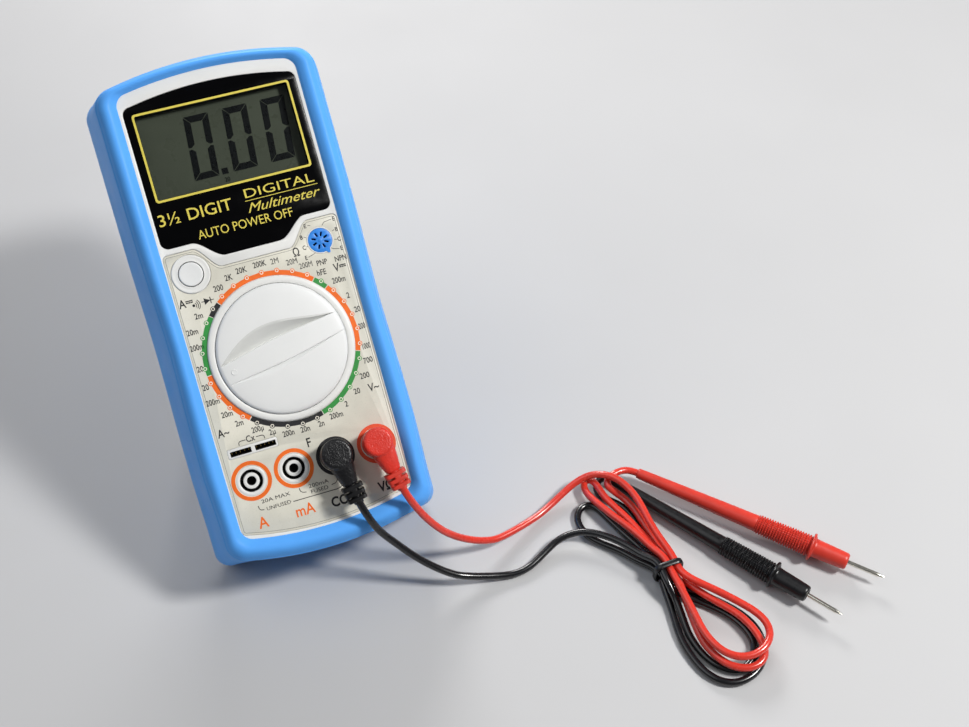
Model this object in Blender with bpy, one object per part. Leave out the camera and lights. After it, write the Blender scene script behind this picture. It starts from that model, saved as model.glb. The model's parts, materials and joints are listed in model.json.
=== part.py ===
"""A hand-held digital multimeter in its rubber holster, leaning back on its
tilt stand, with two right-angle test leads plugged in and coiled beside it.

All lengths are in millimetres, scaled by MM as each mesh is made.
  Meter frame: x to the right across the face, y up the face, z out of it.
    z = 0 is the front of the printed label.
  World: the meter frame turned by TILT about +X, so that the face looks up
    and towards -Y. The middle of the narrow flat on the holster's lower rear
    edge rests on the world origin.
Cables, probes and the cable tie are given in world coordinates, everything
else in the meter frame.
"""

import math
from collections import namedtuple

import bmesh
import bpy
import numpy as np
from mathutils import Matrix, Vector

for old in list(bpy.data.objects):
    bpy.data.objects.remove(old, do_unlink=True)

MM = 0.001
GAP = 0.3  # clearance between neighbouring parts
TILT = math.radians(41.0)
COS_TILT = math.cos(TILT)
SIN_TILT = math.sin(TILT)
OUT = (0, 0, 1)  # meter frame axis out of the face
ACROSS = (1, 0, 0)  # meter frame axis across the face

# Holster and case
BACK_Z = -44.0  # outside of the holster's back
BASE_Y = -87.0  # lower end of the holster
REST_LENGTH = 6.0  # width of the flat the holster stands on
REST_Y = BASE_Y + REST_LENGTH / 2 * COS_TILT  # middle of that flat
REST_Z = BACK_Z + REST_LENGTH / 2 * SIN_TILT
SPLIT_Z = -17.0  # plane where the front case meets the rear case
FACE_Z = -0.6  # outer face of the front case
WALL = 2.2
CASE_BACK_Z = -40.2
CASE_SCREWS = ((-33.0, -70.0), (33.0, -70.0), (0.0, 105.5))

# Circuit board
BOARD_FRONT_Z = -17.0
BOARD_BACK_Z = -18.6
ON_BOARD_Z = BOARD_FRONT_Z + GAP  # foot of the parts on the front
BEHIND_BOARD_Z = BOARD_BACK_Z - GAP  # foot of the parts on the back
BOARD_SCREWS = ((-33.0, 54.0), (33.0, 54.0), (0.0, -58.5))

# Selector
DIAL_Y = -3.5
KNOB_R = 26.2
POINTER = math.radians(190.7)  # direction of the knob's bar
DETENTS = 32
DETENT_R = 29.4
DETENT_DEPTH = 0.45

# Jacks, button and sockets
JACK_Y = -50.0
JACK_PITCH = 17.2
JACK_X = tuple(JACK_PITCH * k for k in (-1.5, -0.5, 0.5, 1.5))
POWER_PLACE = (-26.3, 34.1)
TRANSISTOR_PLACE = (26.3, 34.3)
CAPACITOR_OPENING = (-31.9, -11.8, -40.3, -36.4)  # x low, x high, y low, y high

# Tilt stand
STAND_Y = 30.0
STAND_Z = -42.0
STAND_HALF = 28.0
STAND_THICK = 2.6
STAND_REACH = 35.0  # foot behind the hinge, measured on the table
BARREL_R = 1.6

# Leads
CABLE_R = 1.5
TIE_X, TIE_Y, TIE_Z = 127.8, -72.7, 6.0


# ---------------------------------------------------------------- frames
Frame = namedtuple("Frame", "holder origin")


def face_to_world(x, y, z):
    up = y - REST_Y
    out = z - REST_Z
    return Vector((x, COS_TILT * up - SIN_TILT * out, SIN_TILT * up + COS_TILT * out))


def world_to_face(point):
    return Vector((
        point.x,
        COS_TILT * point.y + SIN_TILT * point.z + REST_Y,
        -SIN_TILT * point.y + COS_TILT * point.z + REST_Z,
    ))


def new_empty(name):
    holder = bpy.data.objects.new(name, None)
    bpy.context.scene.collection.objects.link(holder)
    return holder


def tilted_frame(name):
    """The meter frame itself, leaned back in the world."""
    holder = new_empty(name)
    holder.rotation_euler = (TILT, 0.0, 0.0)
    holder.location = face_to_world(0.0, 0.0, 0.0) * MM
    return Frame(holder, Vector((0.0, 0.0, 0.0)))


def axis_frame(name, x, y, z=0.0):
    """A moving part's pivot, carried by the meter frame."""
    holder = new_empty(name)
    holder.parent = METER.holder
    origin = Vector((x, y, z))
    holder.location = origin * MM
    return Frame(holder, origin)


METER = tilted_frame("meter_frame")
SELECTOR = axis_frame("selector_axis", 0.0, DIAL_Y)
POWER = axis_frame("power_axis", *POWER_PLACE)
HINGE = axis_frame("stand_axis", 0.0, STAND_Y, STAND_Z)
RED_JACK = axis_frame("red_plug_axis", JACK_X[3], JACK_Y)
BLACK_JACK = axis_frame("black_plug_axis", JACK_X[2], JACK_Y)
WORLD = Frame(None, Vector((0.0, 0.0, 0.0)))


# ---------------------------------------------------------------- materials
def material(name, color, roughness, metallic=0.0):
    mat = bpy.data.materials.new(name)
    mat.use_nodes = True
    shader = mat.node_tree.nodes["Principled BSDF"]
    shader.inputs["Base Color"].default_value = (*color, 1.0)
    shader.inputs["Roughness"].default_value = roughness
    shader.inputs["Metallic"].default_value = metallic
    mat.diffuse_color = (*color, 1.0)
    return mat


HOLSTER_BLUE = material("holster_blue", color=(0.08, 0.36, 0.86), roughness=0.45)
CASE_WHITE = material("case_white", color=(0.80, 0.79, 0.75), roughness=0.4)
LABEL_CREAM = material("label_cream", color=(0.72, 0.69, 0.58), roughness=0.55)
WINDOW_BLACK = material("window_black", color=(0.012, 0.012, 0.014), roughness=0.15)
LCD_GREY = material("lcd_grey", color=(0.05, 0.055, 0.04), roughness=0.25)
BOARD_GREEN = material("board_green", color=(0.03, 0.20, 0.08), roughness=0.5)
PLASTIC_BLACK = material("plastic_black", color=(0.02, 0.02, 0.022), roughness=0.45)
SOCKET_BLUE = material("socket_blue", color=(0.02, 0.10, 0.45), roughness=0.4)
BRASS = material("brass", color=(0.80, 0.60, 0.25), roughness=0.3, metallic=1.0)
STEEL = material("steel", color=(0.62, 0.62, 0.63), roughness=0.28, metallic=1.0)
NICKEL = material("nickel", color=(0.75, 0.74, 0.70), roughness=0.22, metallic=1.0)
LEAD_RED = material("lead_red", color=(0.66, 0.04, 0.03), roughness=0.38)
LEAD_BLACK = material("lead_black", color=(0.018, 0.018, 0.022), roughness=0.38)
ZEBRA_PINK = material("zebra_rubber", color=(0.55, 0.35, 0.36), roughness=0.6)
GLASS_CLEAR = material("fuse_glass", color=(0.75, 0.82, 0.82), roughness=0.1)
BATTERY_GREY = material("battery_grey", color=(0.16, 0.16, 0.18), roughness=0.35)


# ---------------------------------------------------------------- objects
def make(name, solid, mat=None, frame=METER):
    """A mesh object from a (verts, faces) solid, with its origin at the frame.

    Without a material it is a hidden tool for a boolean.
    """
    verts, faces = solid
    mesh = bpy.data.meshes.new(name)
    mesh.from_pydata([(Vector(v) - frame.origin) * MM for v in verts], [], faces)
    bm = bmesh.new()
    bm.from_mesh(mesh)
    bmesh.ops.recalc_face_normals(bm, faces=bm.faces[:])
    bm.to_mesh(mesh)
    bm.free()
    obj = bpy.data.objects.new(name, mesh)
    bpy.context.scene.collection.objects.link(obj)
    obj.parent = frame.holder
    mesh.shade_smooth()
    mesh.set_sharp_from_angle(angle=math.radians(35))
    if mat:
        mesh.materials.append(mat)
    else:
        obj.hide_render = True
        obj.display_type = "WIRE"
    return obj


def boolean(obj, operation, tool_name, parts, frame):
    verts, faces = [], []
    for part_verts, part_faces in parts:
        base = len(verts)
        verts += part_verts
        faces += [[base + i for i in face] for face in part_faces]
    tool = make(tool_name, (verts, faces), frame=frame)
    modifier = obj.modifiers.new(operation.title() + "_" + tool_name, "BOOLEAN")
    modifier.operation = operation
    modifier.solver = "EXACT"
    modifier.object = tool


def add(obj, tool_name, *parts, frame=METER):
    boolean(obj, "UNION", tool_name, parts, frame)


def cut(obj, tool_name, *parts, frame=METER):
    boolean(obj, "DIFFERENCE", tool_name, parts, frame)


# ---------------------------------------------------------------- solids
def bridge(rings, closed=False):
    """Faces between consecutive rings of equal length; caps unless closed."""
    size = len(rings[0])
    verts = [point for ring in rings for point in ring]
    faces = []
    last = len(rings) if closed else len(rings) - 1
    for k in range(last):
        here = k * size
        there = ((k + 1) % len(rings)) * size
        for i in range(size):
            j = (i + 1) % size
            faces.append([here + i, here + j, there + j, there + i])
    if not closed:
        faces.append(list(range(size))[::-1])
        faces.append([len(verts) - size + i for i in range(size)])
    return verts, faces


def at_height(outline, z):
    return [(x, y, z) for x, y in outline]


def prism(outline, low, high):
    return bridge([at_height(outline, low), at_height(outline, high)])


def extrude_x(side_view, *stations):
    """Solid with a (y, z) outline, running along x."""
    return bridge([[(x, y, z) for y, z in side_view] for x in stations])


def circle(centre, radius, steps):
    x, y = centre
    angles = [2 * math.pi * i / steps for i in range(steps)]
    return [(x + radius * math.cos(a), y + radius * math.sin(a)) for a in angles]


def post(centre, radius, steps, low, high):
    return prism(circle(centre, radius, steps), low, high)


def rectangle(x_low, x_high, y_low, y_high):
    return [(x_low, y_low), (x_high, y_low), (x_high, y_high), (x_low, y_high)]


def box(x_low, x_high, y_low, y_high, low, high):
    return prism(rectangle(x_low, x_high, y_low, y_high), low, high)


def square_post(centre, half, low, high):
    x, y = centre
    return box(x - half, x + half, y - half, y + half, low, high)


def axes_about(axis):
    """The unit axis and two unit directions square to it."""
    axis = Vector(axis).normalized()
    side = axis.orthogonal().normalized()
    return axis, side, axis.cross(side)


def turned(centre, axis, profile, steps, closed=False):
    """Solid of revolution: profile is (distance along axis, radius) pairs."""
    axis, side, other = axes_about(axis)
    angles = [2 * math.pi * i / steps for i in range(steps)]
    rings = [
        [
            tuple(
                Vector(centre)
                + axis * along
                + (side * math.cos(a) + other * math.sin(a)) * max(radius, 0.02)
            )
            for a in angles
        ]
        for along, radius in profile
    ]
    return bridge(rings, closed)


def pipe(centre, axis, profile, steps):
    """Hollow solid of revolution: the profile is a closed loop."""
    return turned(centre, axis, profile, steps, closed=True)


def swept(path, radius, sides):
    """Round bar along a path, with frames carried along without twist."""
    path = [Vector(point) for point in path]
    last = len(path) - 1
    normal = None
    rings = []
    for i, point in enumerate(path):
        tangent = (path[min(i + 1, last)] - path[max(i - 1, 0)]).normalized()
        if normal is None:
            normal = tangent.orthogonal().normalized()
        normal = (normal - tangent * normal.dot(tangent)).normalized()
        across = tangent.cross(normal)
        angles = [2 * math.pi * k / sides for k in range(sides)]
        rings.append([
            tuple(point + (normal * math.cos(a) + across * math.sin(a)) * radius)
            for a in angles
        ])
    return bridge(rings)


def helix(centre, axis, coil_r, length, turns, wire_r, per_turn, sides):
    axis, side, other = axes_about(axis)
    count = turns * per_turn + 1
    path = []
    for i in range(count):
        angle = 2 * math.pi * i / per_turn
        path.append(
            Vector(centre)
            + axis * (length * i / (count - 1))
            + (side * math.cos(angle) + other * math.sin(angle)) * coil_r
        )
    return swept(path, wire_r, sides)


def smooth(x):
    x = min(max(x, 0.0), 1.0)
    return x * x * (3 - 2 * x)


# ---------------------------------------------------------------- body outline
CORNER_STEPS = 4
END_STEPS = 6


def body_ring(half, bottom, top, corner_r, z, waist=0, top_bow=1, bottom_bow=1, side_steps=1):
    """Ring at height z: a rounded rectangle whose ends bow outwards.

    waist pulls the long sides in at mid height and near the lower end;
    top_bow and bottom_bow scale how far the two ends bow.
    """
    corners = (
        (half - corner_r, top - corner_r, 0.0),
        (-half + corner_r, top - corner_r, 0.5 * math.pi),
        (-half + corner_r, bottom + corner_r, math.pi),
        (half - corner_r, bottom + corner_r, 1.5 * math.pi),
    )
    outline = []
    for k, (x, y, start) in enumerate(corners):
        for i in range(CORNER_STEPS + 1):
            angle = start + 0.5 * math.pi * i / CORNER_STEPS
            outline.append((x + corner_r * math.cos(angle), y + corner_r * math.sin(angle)))
        next_x, next_y, next_start = corners[(k + 1) % 4]
        from_x, from_y = outline[-1]
        to_x = next_x + corner_r * math.cos(next_start)
        to_y = next_y + corner_r * math.sin(next_start)
        steps = END_STEPS if k % 2 == 0 else side_steps
        for i in range(1, steps):
            part = i / steps
            outline.append((from_x + (to_x - from_x) * part, from_y + (to_y - from_y) * part))
    ring = []
    for x, y in outline:
        mid_squeeze = 0.025 * math.exp(-(((y - 8) / 25) ** 2))
        low_squeeze = 0.022 * smooth((-48 - y) / 28)
        x *= 1 - waist * (mid_squeeze + low_squeeze)
        bowed_y = y - top_bow * 3.2 * (x / 32) ** 2 * smooth((y - 55) / 35)
        bowed_y += bottom_bow * 5.0 * (x / 38) ** 2 * smooth((-35 - y) / 25)
        ring.append((x, bowed_y, z))
    return ring


# ---------------------------------------------------------------- holster
FLAT_TOP_Z = BACK_Z + REST_LENGTH * SIN_TILT
FLAT_INNER_Y = BASE_Y + REST_LENGTH * COS_TILT

# Rings from the back opening round the outside, over the front lip and back
# along the inside: half width, bottom, top, corner radius, z, waist, top bow,
# bottom bow.
HOLSTER_RINGS = (
    (34.0, -58.0, 39.0, 4.0, BACK_Z, 0, 0, 0),
    (41.5, FLAT_INNER_Y, 110.0, 7.0, BACK_Z, 0, 0.6, 0),
    (46.2, BASE_Y, 114.5, 9.0, FLAT_TOP_Z, 0.3, 0.7, 0),
    (48.4, -87.4, 116.3, 9.0, -31.0, 0.5, 0.8, 0.3),
    (46.3, -86.6, 115.8, 8.0, -16.0, 0.8, 1.0, 0.7),
    (43.9, -85.5, 115.0, 6.0, -2.4, 1.0, 1.0, 1.0),
    (43.1, -84.7, 114.4, 5.6, -0.4, 1.0, 1.0, 1.0),
    (41.2, -82.3, 113.2, 5.2, 2.2, 0.95, 1.0, 1.0),
    (39.6, -80.2, 112.2, 4.9, 3.0, 0.85, 1.0, 1.0),
    (38.2, -78.2, 111.1, 4.6, 2.1, 0.6, 1.0, 1.0),
    (36.6, -76.2, 110.0, 4.0, 0.4, 0.2, 1.0, 1.0),
    (36.6, -76.2, 110.0, 4.0, -0.3, 0.2, 1.0, 1.0),
    (41.0, -82.2, 112.2, 5.0, -0.3, 0, 1.0, 1.0),
    (43.3, -83.0, 112.8, 6.0, SPLIT_Z, 0, 1.0, 1.0),
    (44.3, -83.8, 113.4, 7.0, -31.0, 0, 1.0, 0.9),
    (43.4, -83.2, 112.8, 7.0, -38.0, 0, 1.0, 0.8),
    (40.8, -80.0, 109.6, 7.0, -40.8, 0, 0.8, 0.6),
    (34.0, -58.0, 39.0, 4.0, -40.8, 0, 0, 0),
)


def build_holster():
    rings = [body_ring(*row, side_steps=8) for row in HOLSTER_RINGS]
    make("holster", bridge(rings, closed=True), HOLSTER_BLUE)


# ---------------------------------------------------------------- front case
# Half width, bottom, top and corner radius of both case halves at the split.
CAVITY = (40.2, -79.9, 109.7, 6.0)
SPLIT_EDGE = (42.5, -82.2, 112.0, 6.5)

# From the inside of the face back to the split, then forward to the face:
# half width, bottom, top, corner radius, z.
FRONT_CASE_RINGS = (
    (38.6, -78.6, 108.7, 5.5, FACE_Z - WALL),
    (*CAVITY, FACE_Z - 2 * WALL),
    (*CAVITY, SPLIT_Z),
    (*SPLIT_EDGE, SPLIT_Z),
    (41.1, -81.7, 111.7, 6.0, -6.0),
    (40.4, -81.3, 111.5, 5.5, -2.0),
    (39.6, -80.4, 110.7, 5.0, FACE_Z),
)
RIB_ROOT_Z = -2.0  # ribs and bosses start inside the face wall
DETENT_RING_R = 31.6
DETENT_RING_STEPS = 64
DETENT_RING_BACK_Z = -13.6
FACE_CUT = (-5.5, 2.0)  # z range of the openings through the face
DISPLAY_OPENING = (-30.3, 30.3, 64.1, 98.0)
CASE_SCREW_BORE_R = 1.75
# Closed (z, radius) loops of the raised rims on the face.
DIAL_RIM = ((-1.6, 27.2), (-1.6, 29.1), (0.5, 29.1), (0.9, 28.6), (0.9, 27.2))
POWER_COLLAR = ((-1.6, 5.4), (-1.6, 7.6), (0.1, 7.6), (0.35, 7.2), (0.3, 5.4))


def dial_point(radius, angle):
    return radius * math.cos(angle), DIAL_Y + radius * math.sin(angle)


def detent_ring():
    """Ring behind the face, scalloped on the inside for the detent balls."""
    outside = circle((0, DIAL_Y), DETENT_RING_R, DETENT_RING_STEPS)
    scallops = []
    for i in range(DETENT_RING_STEPS):
        angle = 2 * math.pi * i / DETENT_RING_STEPS
        depth = DETENT_DEPTH * (0.5 - 0.5 * math.cos(DETENTS * angle))
        scallops.append(dial_point(DETENT_R + depth, angle))
    rings = [
        at_height(outside, RIB_ROOT_Z),
        at_height(outside, DETENT_RING_BACK_Z),
        at_height(scallops, DETENT_RING_BACK_Z),
        at_height(scallops, RIB_ROOT_Z),
    ]
    return bridge(rings, closed=True)


def build_front_case():
    case = make("front_case", bridge([body_ring(*row) for row in FRONT_CASE_RINGS]), CASE_WHITE)
    add(
        case,
        "front_case_ribs",
        detent_ring(),
        pipe((0, DIAL_Y, 0), OUT, DIAL_RIM, 36),
        pipe((*POWER_PLACE, 0), OUT, POWER_COLLAR, 18),
        *[post(place, 3.4, 10, SPLIT_Z, RIB_ROOT_Z) for place in CASE_SCREWS],
        *[post(place, 3.0, 10, ON_BOARD_Z, RIB_ROOT_Z) for place in BOARD_SCREWS],
    )
    cut(
        case,
        "front_case_holes",
        box(*DISPLAY_OPENING, *FACE_CUT),
        post((0, DIAL_Y), 26.9, 36, *FACE_CUT),
        post(POWER_PLACE, 5.2, 18, *FACE_CUT),
        post(TRANSISTOR_PLACE, 5.2, 18, *FACE_CUT),
        box(*CAPACITOR_OPENING, *FACE_CUT),
        *[post((x, JACK_Y), 4.5, 14, *FACE_CUT) for x in JACK_X],
        *[post(place, CASE_SCREW_BORE_R, 8, SPLIT_Z - 1, -5.5) for place in CASE_SCREWS],
        *[post(place, 1.5, 8, -18.0, -8.0) for place in BOARD_SCREWS],
    )


# ---------------------------------------------------------------- rear case
# From the inside of the back forward to the split, then round the outside
# to the back; columns as for HOLSTER_RINGS.
REAR_CASE_RINGS = (
    (37.4, -77.0, 106.4, 6.0, CASE_BACK_Z + WALL),
    (*CAVITY, -34.0),
    (*CAVITY, SPLIT_Z - GAP),
    (*SPLIT_EDGE, SPLIT_Z - GAP),
    (43.0, -82.5, 112.2, 6.5, -30.0),
    (42.2, -81.9, 111.6, 6.5, -36.8),
    (39.2, -79.0, 108.4, 6.0, CASE_BACK_Z, 0, 0.8, 0.8),
)
RIB_FOOT_Z = CASE_BACK_Z + 1.0  # bosses and lugs start inside the back wall
LUG_GAP = 0.4  # between the stand's edge and its lug
LUG_WIDTH = 4.0
LUG_ROOT_HALF = 4.2
LUG_END_HALF = 2.6
# (y, z) outline of the lugs that carry the stand
LUG_OUTLINE = (
    (STAND_Y - LUG_ROOT_HALF, RIB_FOOT_Z),
    (STAND_Y + LUG_ROOT_HALF, RIB_FOOT_Z),
    (STAND_Y + LUG_END_HALF, STAND_Z - LUG_END_HALF),
    (STAND_Y - LUG_END_HALF, STAND_Z - LUG_END_HALF),
)
# (z, radius) from the recessed head to the point
CASE_SCREW_PROFILE = (
    (-39.7, 2.3), (-39.3, 2.9), (-37.6, 2.9), (-37.5, 1.35), (-7.6, 1.35), (-6.4, 0.3),
)


def build_screws(name, places, profile):
    for k, place in enumerate(places):
        make(f"{name}_{k + 1}", turned((*place, 0), OUT, profile, 10), STEEL)


def build_rear_case():
    case = make("rear_case", bridge([body_ring(*row) for row in REAR_CASE_RINGS]), CASE_WHITE)
    ribs = [post(place, 4.5, 12, RIB_FOOT_Z, SPLIT_Z - GAP) for place in CASE_SCREWS]
    recesses = [post(place, 3.4, 12, -45.0, -37.2) for place in CASE_SCREWS]
    for side in (-1, 1):
        near = STAND_HALF + LUG_GAP
        ends = sorted((side * near, side * (near + LUG_WIDTH)))
        ribs.append(extrude_x(LUG_OUTLINE, *ends))
        start = (side * (STAND_HALF - 1.0), STAND_Y, STAND_Z)
        recesses.append(turned(start, (side, 0, 0), ((0, 1.6), (4.2, 1.6)), 14))
    bores = [post(place, CASE_SCREW_BORE_R, 8, -45.0, -10.0) for place in CASE_SCREWS]
    add(case, "rear_case_ribs", *ribs)
    cut(case, "rear_case_bores", *bores)
    cut(case, "rear_case_recesses", *recesses)


# ---------------------------------------------------------------- face parts
PANEL_STEPS = 9
PANEL_CORNER_STEPS = 5


def shoulder(x, low, high, start, stop):
    """Step from low to high as x moves outwards from start to stop."""
    return low + (high - low) * smooth((abs(x) - start) / (stop - start))


def corner_arc(x, y, radius, start, first, last):
    arc = []
    for i in range(first, last + 1):
        angle = start + 0.5 * math.pi * i / PANEL_CORNER_STEPS
        arc.append((x + radius * math.cos(angle), y + radius * math.sin(angle)))
    return arc


def panel(half, foot_of, top_of, radius):
    """Closed outline with straight sides, a shaped foot and a bowed top."""
    inner = half - radius
    foot = foot_of(inner) + radius
    top = top_of(inner) - radius
    foot_steps = 2 * PANEL_STEPS
    foot_line = [inner * i / foot_steps for i in range(-foot_steps, foot_steps + 1)]
    top_line = [inner * i / PANEL_STEPS for i in range(PANEL_STEPS - 1, -PANEL_STEPS, -1)]
    outline = [(x, foot_of(x)) for x in foot_line]
    outline += corner_arc(inner, foot, radius, -0.5 * math.pi, 1, 5)
    outline += corner_arc(inner, top, radius, 0.0, 0, 5)
    outline += [(x, top_of(x)) for x in top_line]
    outline += corner_arc(-inner, top, radius, 0.5 * math.pi, 0, 5)
    outline += corner_arc(-inner, foot, radius, math.pi, 0, 4)
    return outline


def build_display_window():
    outline = panel(
        half=34.1,
        foot_of=lambda x: shoulder(x, low=38.2, high=45.9, start=12.0, stop=22.5),
        top_of=lambda x: 105.2 - 3.5 * (x / 33) ** 2,
        radius=3.0,
    )
    make("display_window", prism(outline, -0.3, 0.2), WINDOW_BLACK)


def build_face_label():
    outline = panel(
        half=35.7,
        foot_of=lambda x: -75.2 + 5.2 * (x / 36) ** 2,
        top_of=lambda x: shoulder(x, low=34.1, high=43.0, start=14.0, stop=24.0),
        radius=2.0,
    )
    label = make("face_label", prism(outline, -0.3, 0.0), LABEL_CREAM)
    cut(
        label,
        "label_holes",
        post((0, DIAL_Y), 29.5, 40, -2, 2),
        post(POWER_PLACE, 8.0, 18, -2, 2),
        post(TRANSISTOR_PLACE, 5.5, 18, -2, 2),
        box(*CAPACITOR_OPENING, -2, 2),
        *[post((x, JACK_Y), 4.6, 14, -2, 2) for x in JACK_X],
    )


def build_transistor_socket():
    """Round insert with a ring of eight contact holes."""
    profile = ((-9.0, 4.75), (-0.6, 4.75), (-0.2, 4.4))
    body = turned((*TRANSISTOR_PLACE, 0), OUT, profile, 18)
    socket = make("transistor_socket", body, SOCKET_BLUE)
    x, y = TRANSISTOR_PLACE
    holes = []
    for i in range(8):
        angle = 2 * math.pi * (i + 0.5) / 8
        centre = (x + 2.9 * math.cos(angle), y + 2.9 * math.sin(angle))
        holes.append(post(centre, 0.45, 4, -5.0, 1.0))
    cut(socket, "transistor_socket_holes", *holes)


def build_capacitor_socket():
    """Rectangular insert with two slots side by side."""
    x_low, x_high, y_low, y_high = CAPACITOR_OPENING
    body = box(x_low + GAP, x_high - GAP, y_low + GAP, y_high - GAP, -10.0, -0.3)
    socket = make("capacitor_socket", body, PLASTIC_BLACK)
    slots = ((-31.0, -22.6), (-21.1, -12.7))
    cut(
        socket,
        "capacitor_socket_slots",
        *[box(left, right, -39.4, -37.6, -7.0, 1.0) for left, right in slots],
    )


def build_input_jacks():
    """Brass sleeves standing on the board behind the four input holes."""
    profile = (
        (ON_BOARD_Z, 2.3), (ON_BOARD_Z, 4.2), (-15.4, 4.2),
        (-15.4, 3.1), (-1.2, 3.1), (-1.2, 2.3),
    )
    for name, x in zip(("a", "ma", "com", "volt"), JACK_X):
        make(f"input_jack_{name}", pipe((x, JACK_Y, 0), OUT, profile, 12), BRASS)


# ---------------------------------------------------------------- board
# (z, radius) from the head behind the board to the point
BOARD_SCREW_PROFILE = (
    (-20.6, 2.0), (-20.3, 2.6), (BEHIND_BOARD_Z, 2.6), (-18.8, 1.05), (-9.2, 1.05), (-8.4, 0.3),
)
LCD_GLASS_BACK_Z = -6.9
LCD_FRAME_FRONT_Z = LCD_GLASS_BACK_Z - GAP

# Plain blocks: name, (x low, x high, y low, y high, z low, z high), material
BLOCKS = (
    ("lcd_glass", (-31.0, 31.0, 63.2, 98.8, LCD_GLASS_BACK_Z, -4.5), LCD_GREY),
    ("zebra_strip", (-27.0, 27.0, 65.6, 67.8, ON_BOARD_Z, LCD_FRAME_FRONT_Z), ZEBRA_PINK),
    ("converter_ic", (-26.0, 26.0, 38.5, 52.0, -22.8, BEHIND_BOARD_Z), PLASTIC_BLACK),
    ("battery_snap", (25.0, 27.6, 62.0, 87.5, -36.0, -21.2), PLASTIC_BLACK),
)


def build_board():
    outline = rectangle(-37.0, 37.0, -63.0, 100.0)
    board = make("main_pcb", prism(outline, BOARD_BACK_Z, BOARD_FRONT_Z), BOARD_GREEN)
    cut(board, "board_holes", *[post(place, 1.9, 10, -22, -14) for place in BOARD_SCREWS])


def build_lcd_frame():
    outside = rectangle(-33.0, 33.0, 61.0, 101.0)
    inside = rectangle(-28.5, 28.5, 65.0, 97.0)
    rings = [
        at_height(outside, ON_BOARD_Z),
        at_height(outside, LCD_FRAME_FRONT_Z),
        at_height(inside, LCD_FRAME_FRONT_Z),
        at_height(inside, ON_BOARD_Z),
    ]
    make("lcd_frame", bridge(rings, closed=True), PLASTIC_BLACK)


def build_buzzer():
    profile = ((-21.2, 11.0), (BEHIND_BOARD_Z, 11.0))
    make("buzzer_disc", turned((19.0, 20.0, 0), OUT, profile, 24), BRASS)


# Fuse and its two spring clips on the back of the board
FUSE_CENTRE = (0, -30.0, -22.5)
FUSE_PROFILE = ((-10, 2.5), (-5.2, 2.5), (-5.1, 2.2), (5.1, 2.2), (5.2, 2.5), (10, 2.5))
# (y, z) of a U open to the rear
CLIP_OUTLINE = (
    (-33.3, BEHIND_BOARD_Z), (-26.7, BEHIND_BOARD_Z), (-26.7, -25.0), (-27.1, -25.0),
    (-27.1, -19.5), (-32.9, -19.5), (-32.9, -25.0), (-33.3, -25.0),
)


def build_fuse():
    make("fuse", turned(FUSE_CENTRE, ACROSS, FUSE_PROFILE, 16), GLASS_CLEAR)
    for k, x in enumerate((-7.6, 7.6)):
        make(f"fuse_clip_{k + 1}", extrude_x(CLIP_OUTLINE, x - 1.5, x + 1.5), BRASS)


def build_shunt():
    """Half-round wire loop behind the board, from the COM jack's x to the A jack's."""
    path = []
    for i in range(13):
        angle = math.pi * i / 12
        x = JACK_X[2] - JACK_PITCH * (1 - math.cos(angle))
        path.append((x, -58.0, -20.0 - 6.0 * math.sin(angle)))
    make("shunt_wire", swept(path, 0.9, 8), NICKEL)


def build_battery():
    """Nine-volt battery lying across the rear case, and its two wires."""
    body = box(-25.0, 22.5, 61.5, 88.0, -37.4, -19.9)
    battery = make("battery_9v", body, BATTERY_GREY)
    bevel = battery.modifiers.new("Bevel", "BEVEL")
    bevel.width = 1.5 * MM
    bevel.segments = 2
    studs = [
        turned((22.0, y, -28.6), ACROSS, ((0, radius), (2.6, radius)), 12)
        for y, radius in ((68.4, 3.0), (81.1, 3.3))
    ]
    add(battery, "battery_terminals", *studs)
    for name, y, mat in (("red", 70.0, LEAD_RED), ("black", 80.0, LEAD_BLACK)):
        path = [
            (28.8, y, -30.0),
            (29.6, y - 1.0, -25.0),
            (31.5, y - 6.0, -21.0),
            (32.5, y - 12.0, -20.0),
        ]
        make(f"battery_wire_{name}", swept(path, 0.7, 6), mat)


# ---------------------------------------------------------------- selector
KNOB_TOP_R = KNOB_R - 1.15
KNOB_EDGE_Z = 2.3  # foot of the domed top
DOME_RISE = 1.5
DOME_RADII = (23.4, 20.0, 14.0, 7.0, 0.0)
SCOOP_REACH = 22.4  # half length of the finger scoops
SCOOP_STEPS = 16
SCOOP_DEPTH = 4.0
SCOOP_WIDTH = 5.0
SCOOP_TOP_Z = 6.0  # clear of the knob
BALL_R = 1.5
BALL_STEPS = 5
BALL_Z = -10.8
BALL_DIRECTIONS = (POINTER + math.pi / 2, POINTER - math.pi / 2)
# (distance along, z) outline of a contact: a shallow arch towards the board
WIPER_OUTLINE = (
    (-5, -13.6), (-3.6, -13.6), (-0.8, -16.1), (0.8, -16.1),
    (3.6, -13.6), (5, -13.6), (1.3, -16.6), (-1.3, -16.6),
)
WIPERS = ((12.0, 0.3), (17.5, 2.4), (23.0, 4.5))  # radius, angle


def dome_z(along, across):
    """Height of the knob's domed top."""
    share = min(1.0, (along * along + across * across) / KNOB_TOP_R**2)
    return KNOB_EDGE_Z + DOME_RISE * (1 - share) ** 0.75


def by_pointer(along, across):
    """(x, y) of a place measured along and across the knob's bar."""
    cosine = math.cos(POINTER)
    sine = math.sin(POINTER)
    return cosine * along - sine * across, DIAL_Y + sine * along + cosine * across


def pointer_square(half, low, high):
    corners = ((half, half), (-half, half), (-half, -half), (half, -half))
    return prism([by_pointer(*corner) for corner in corners], low, high)


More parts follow.
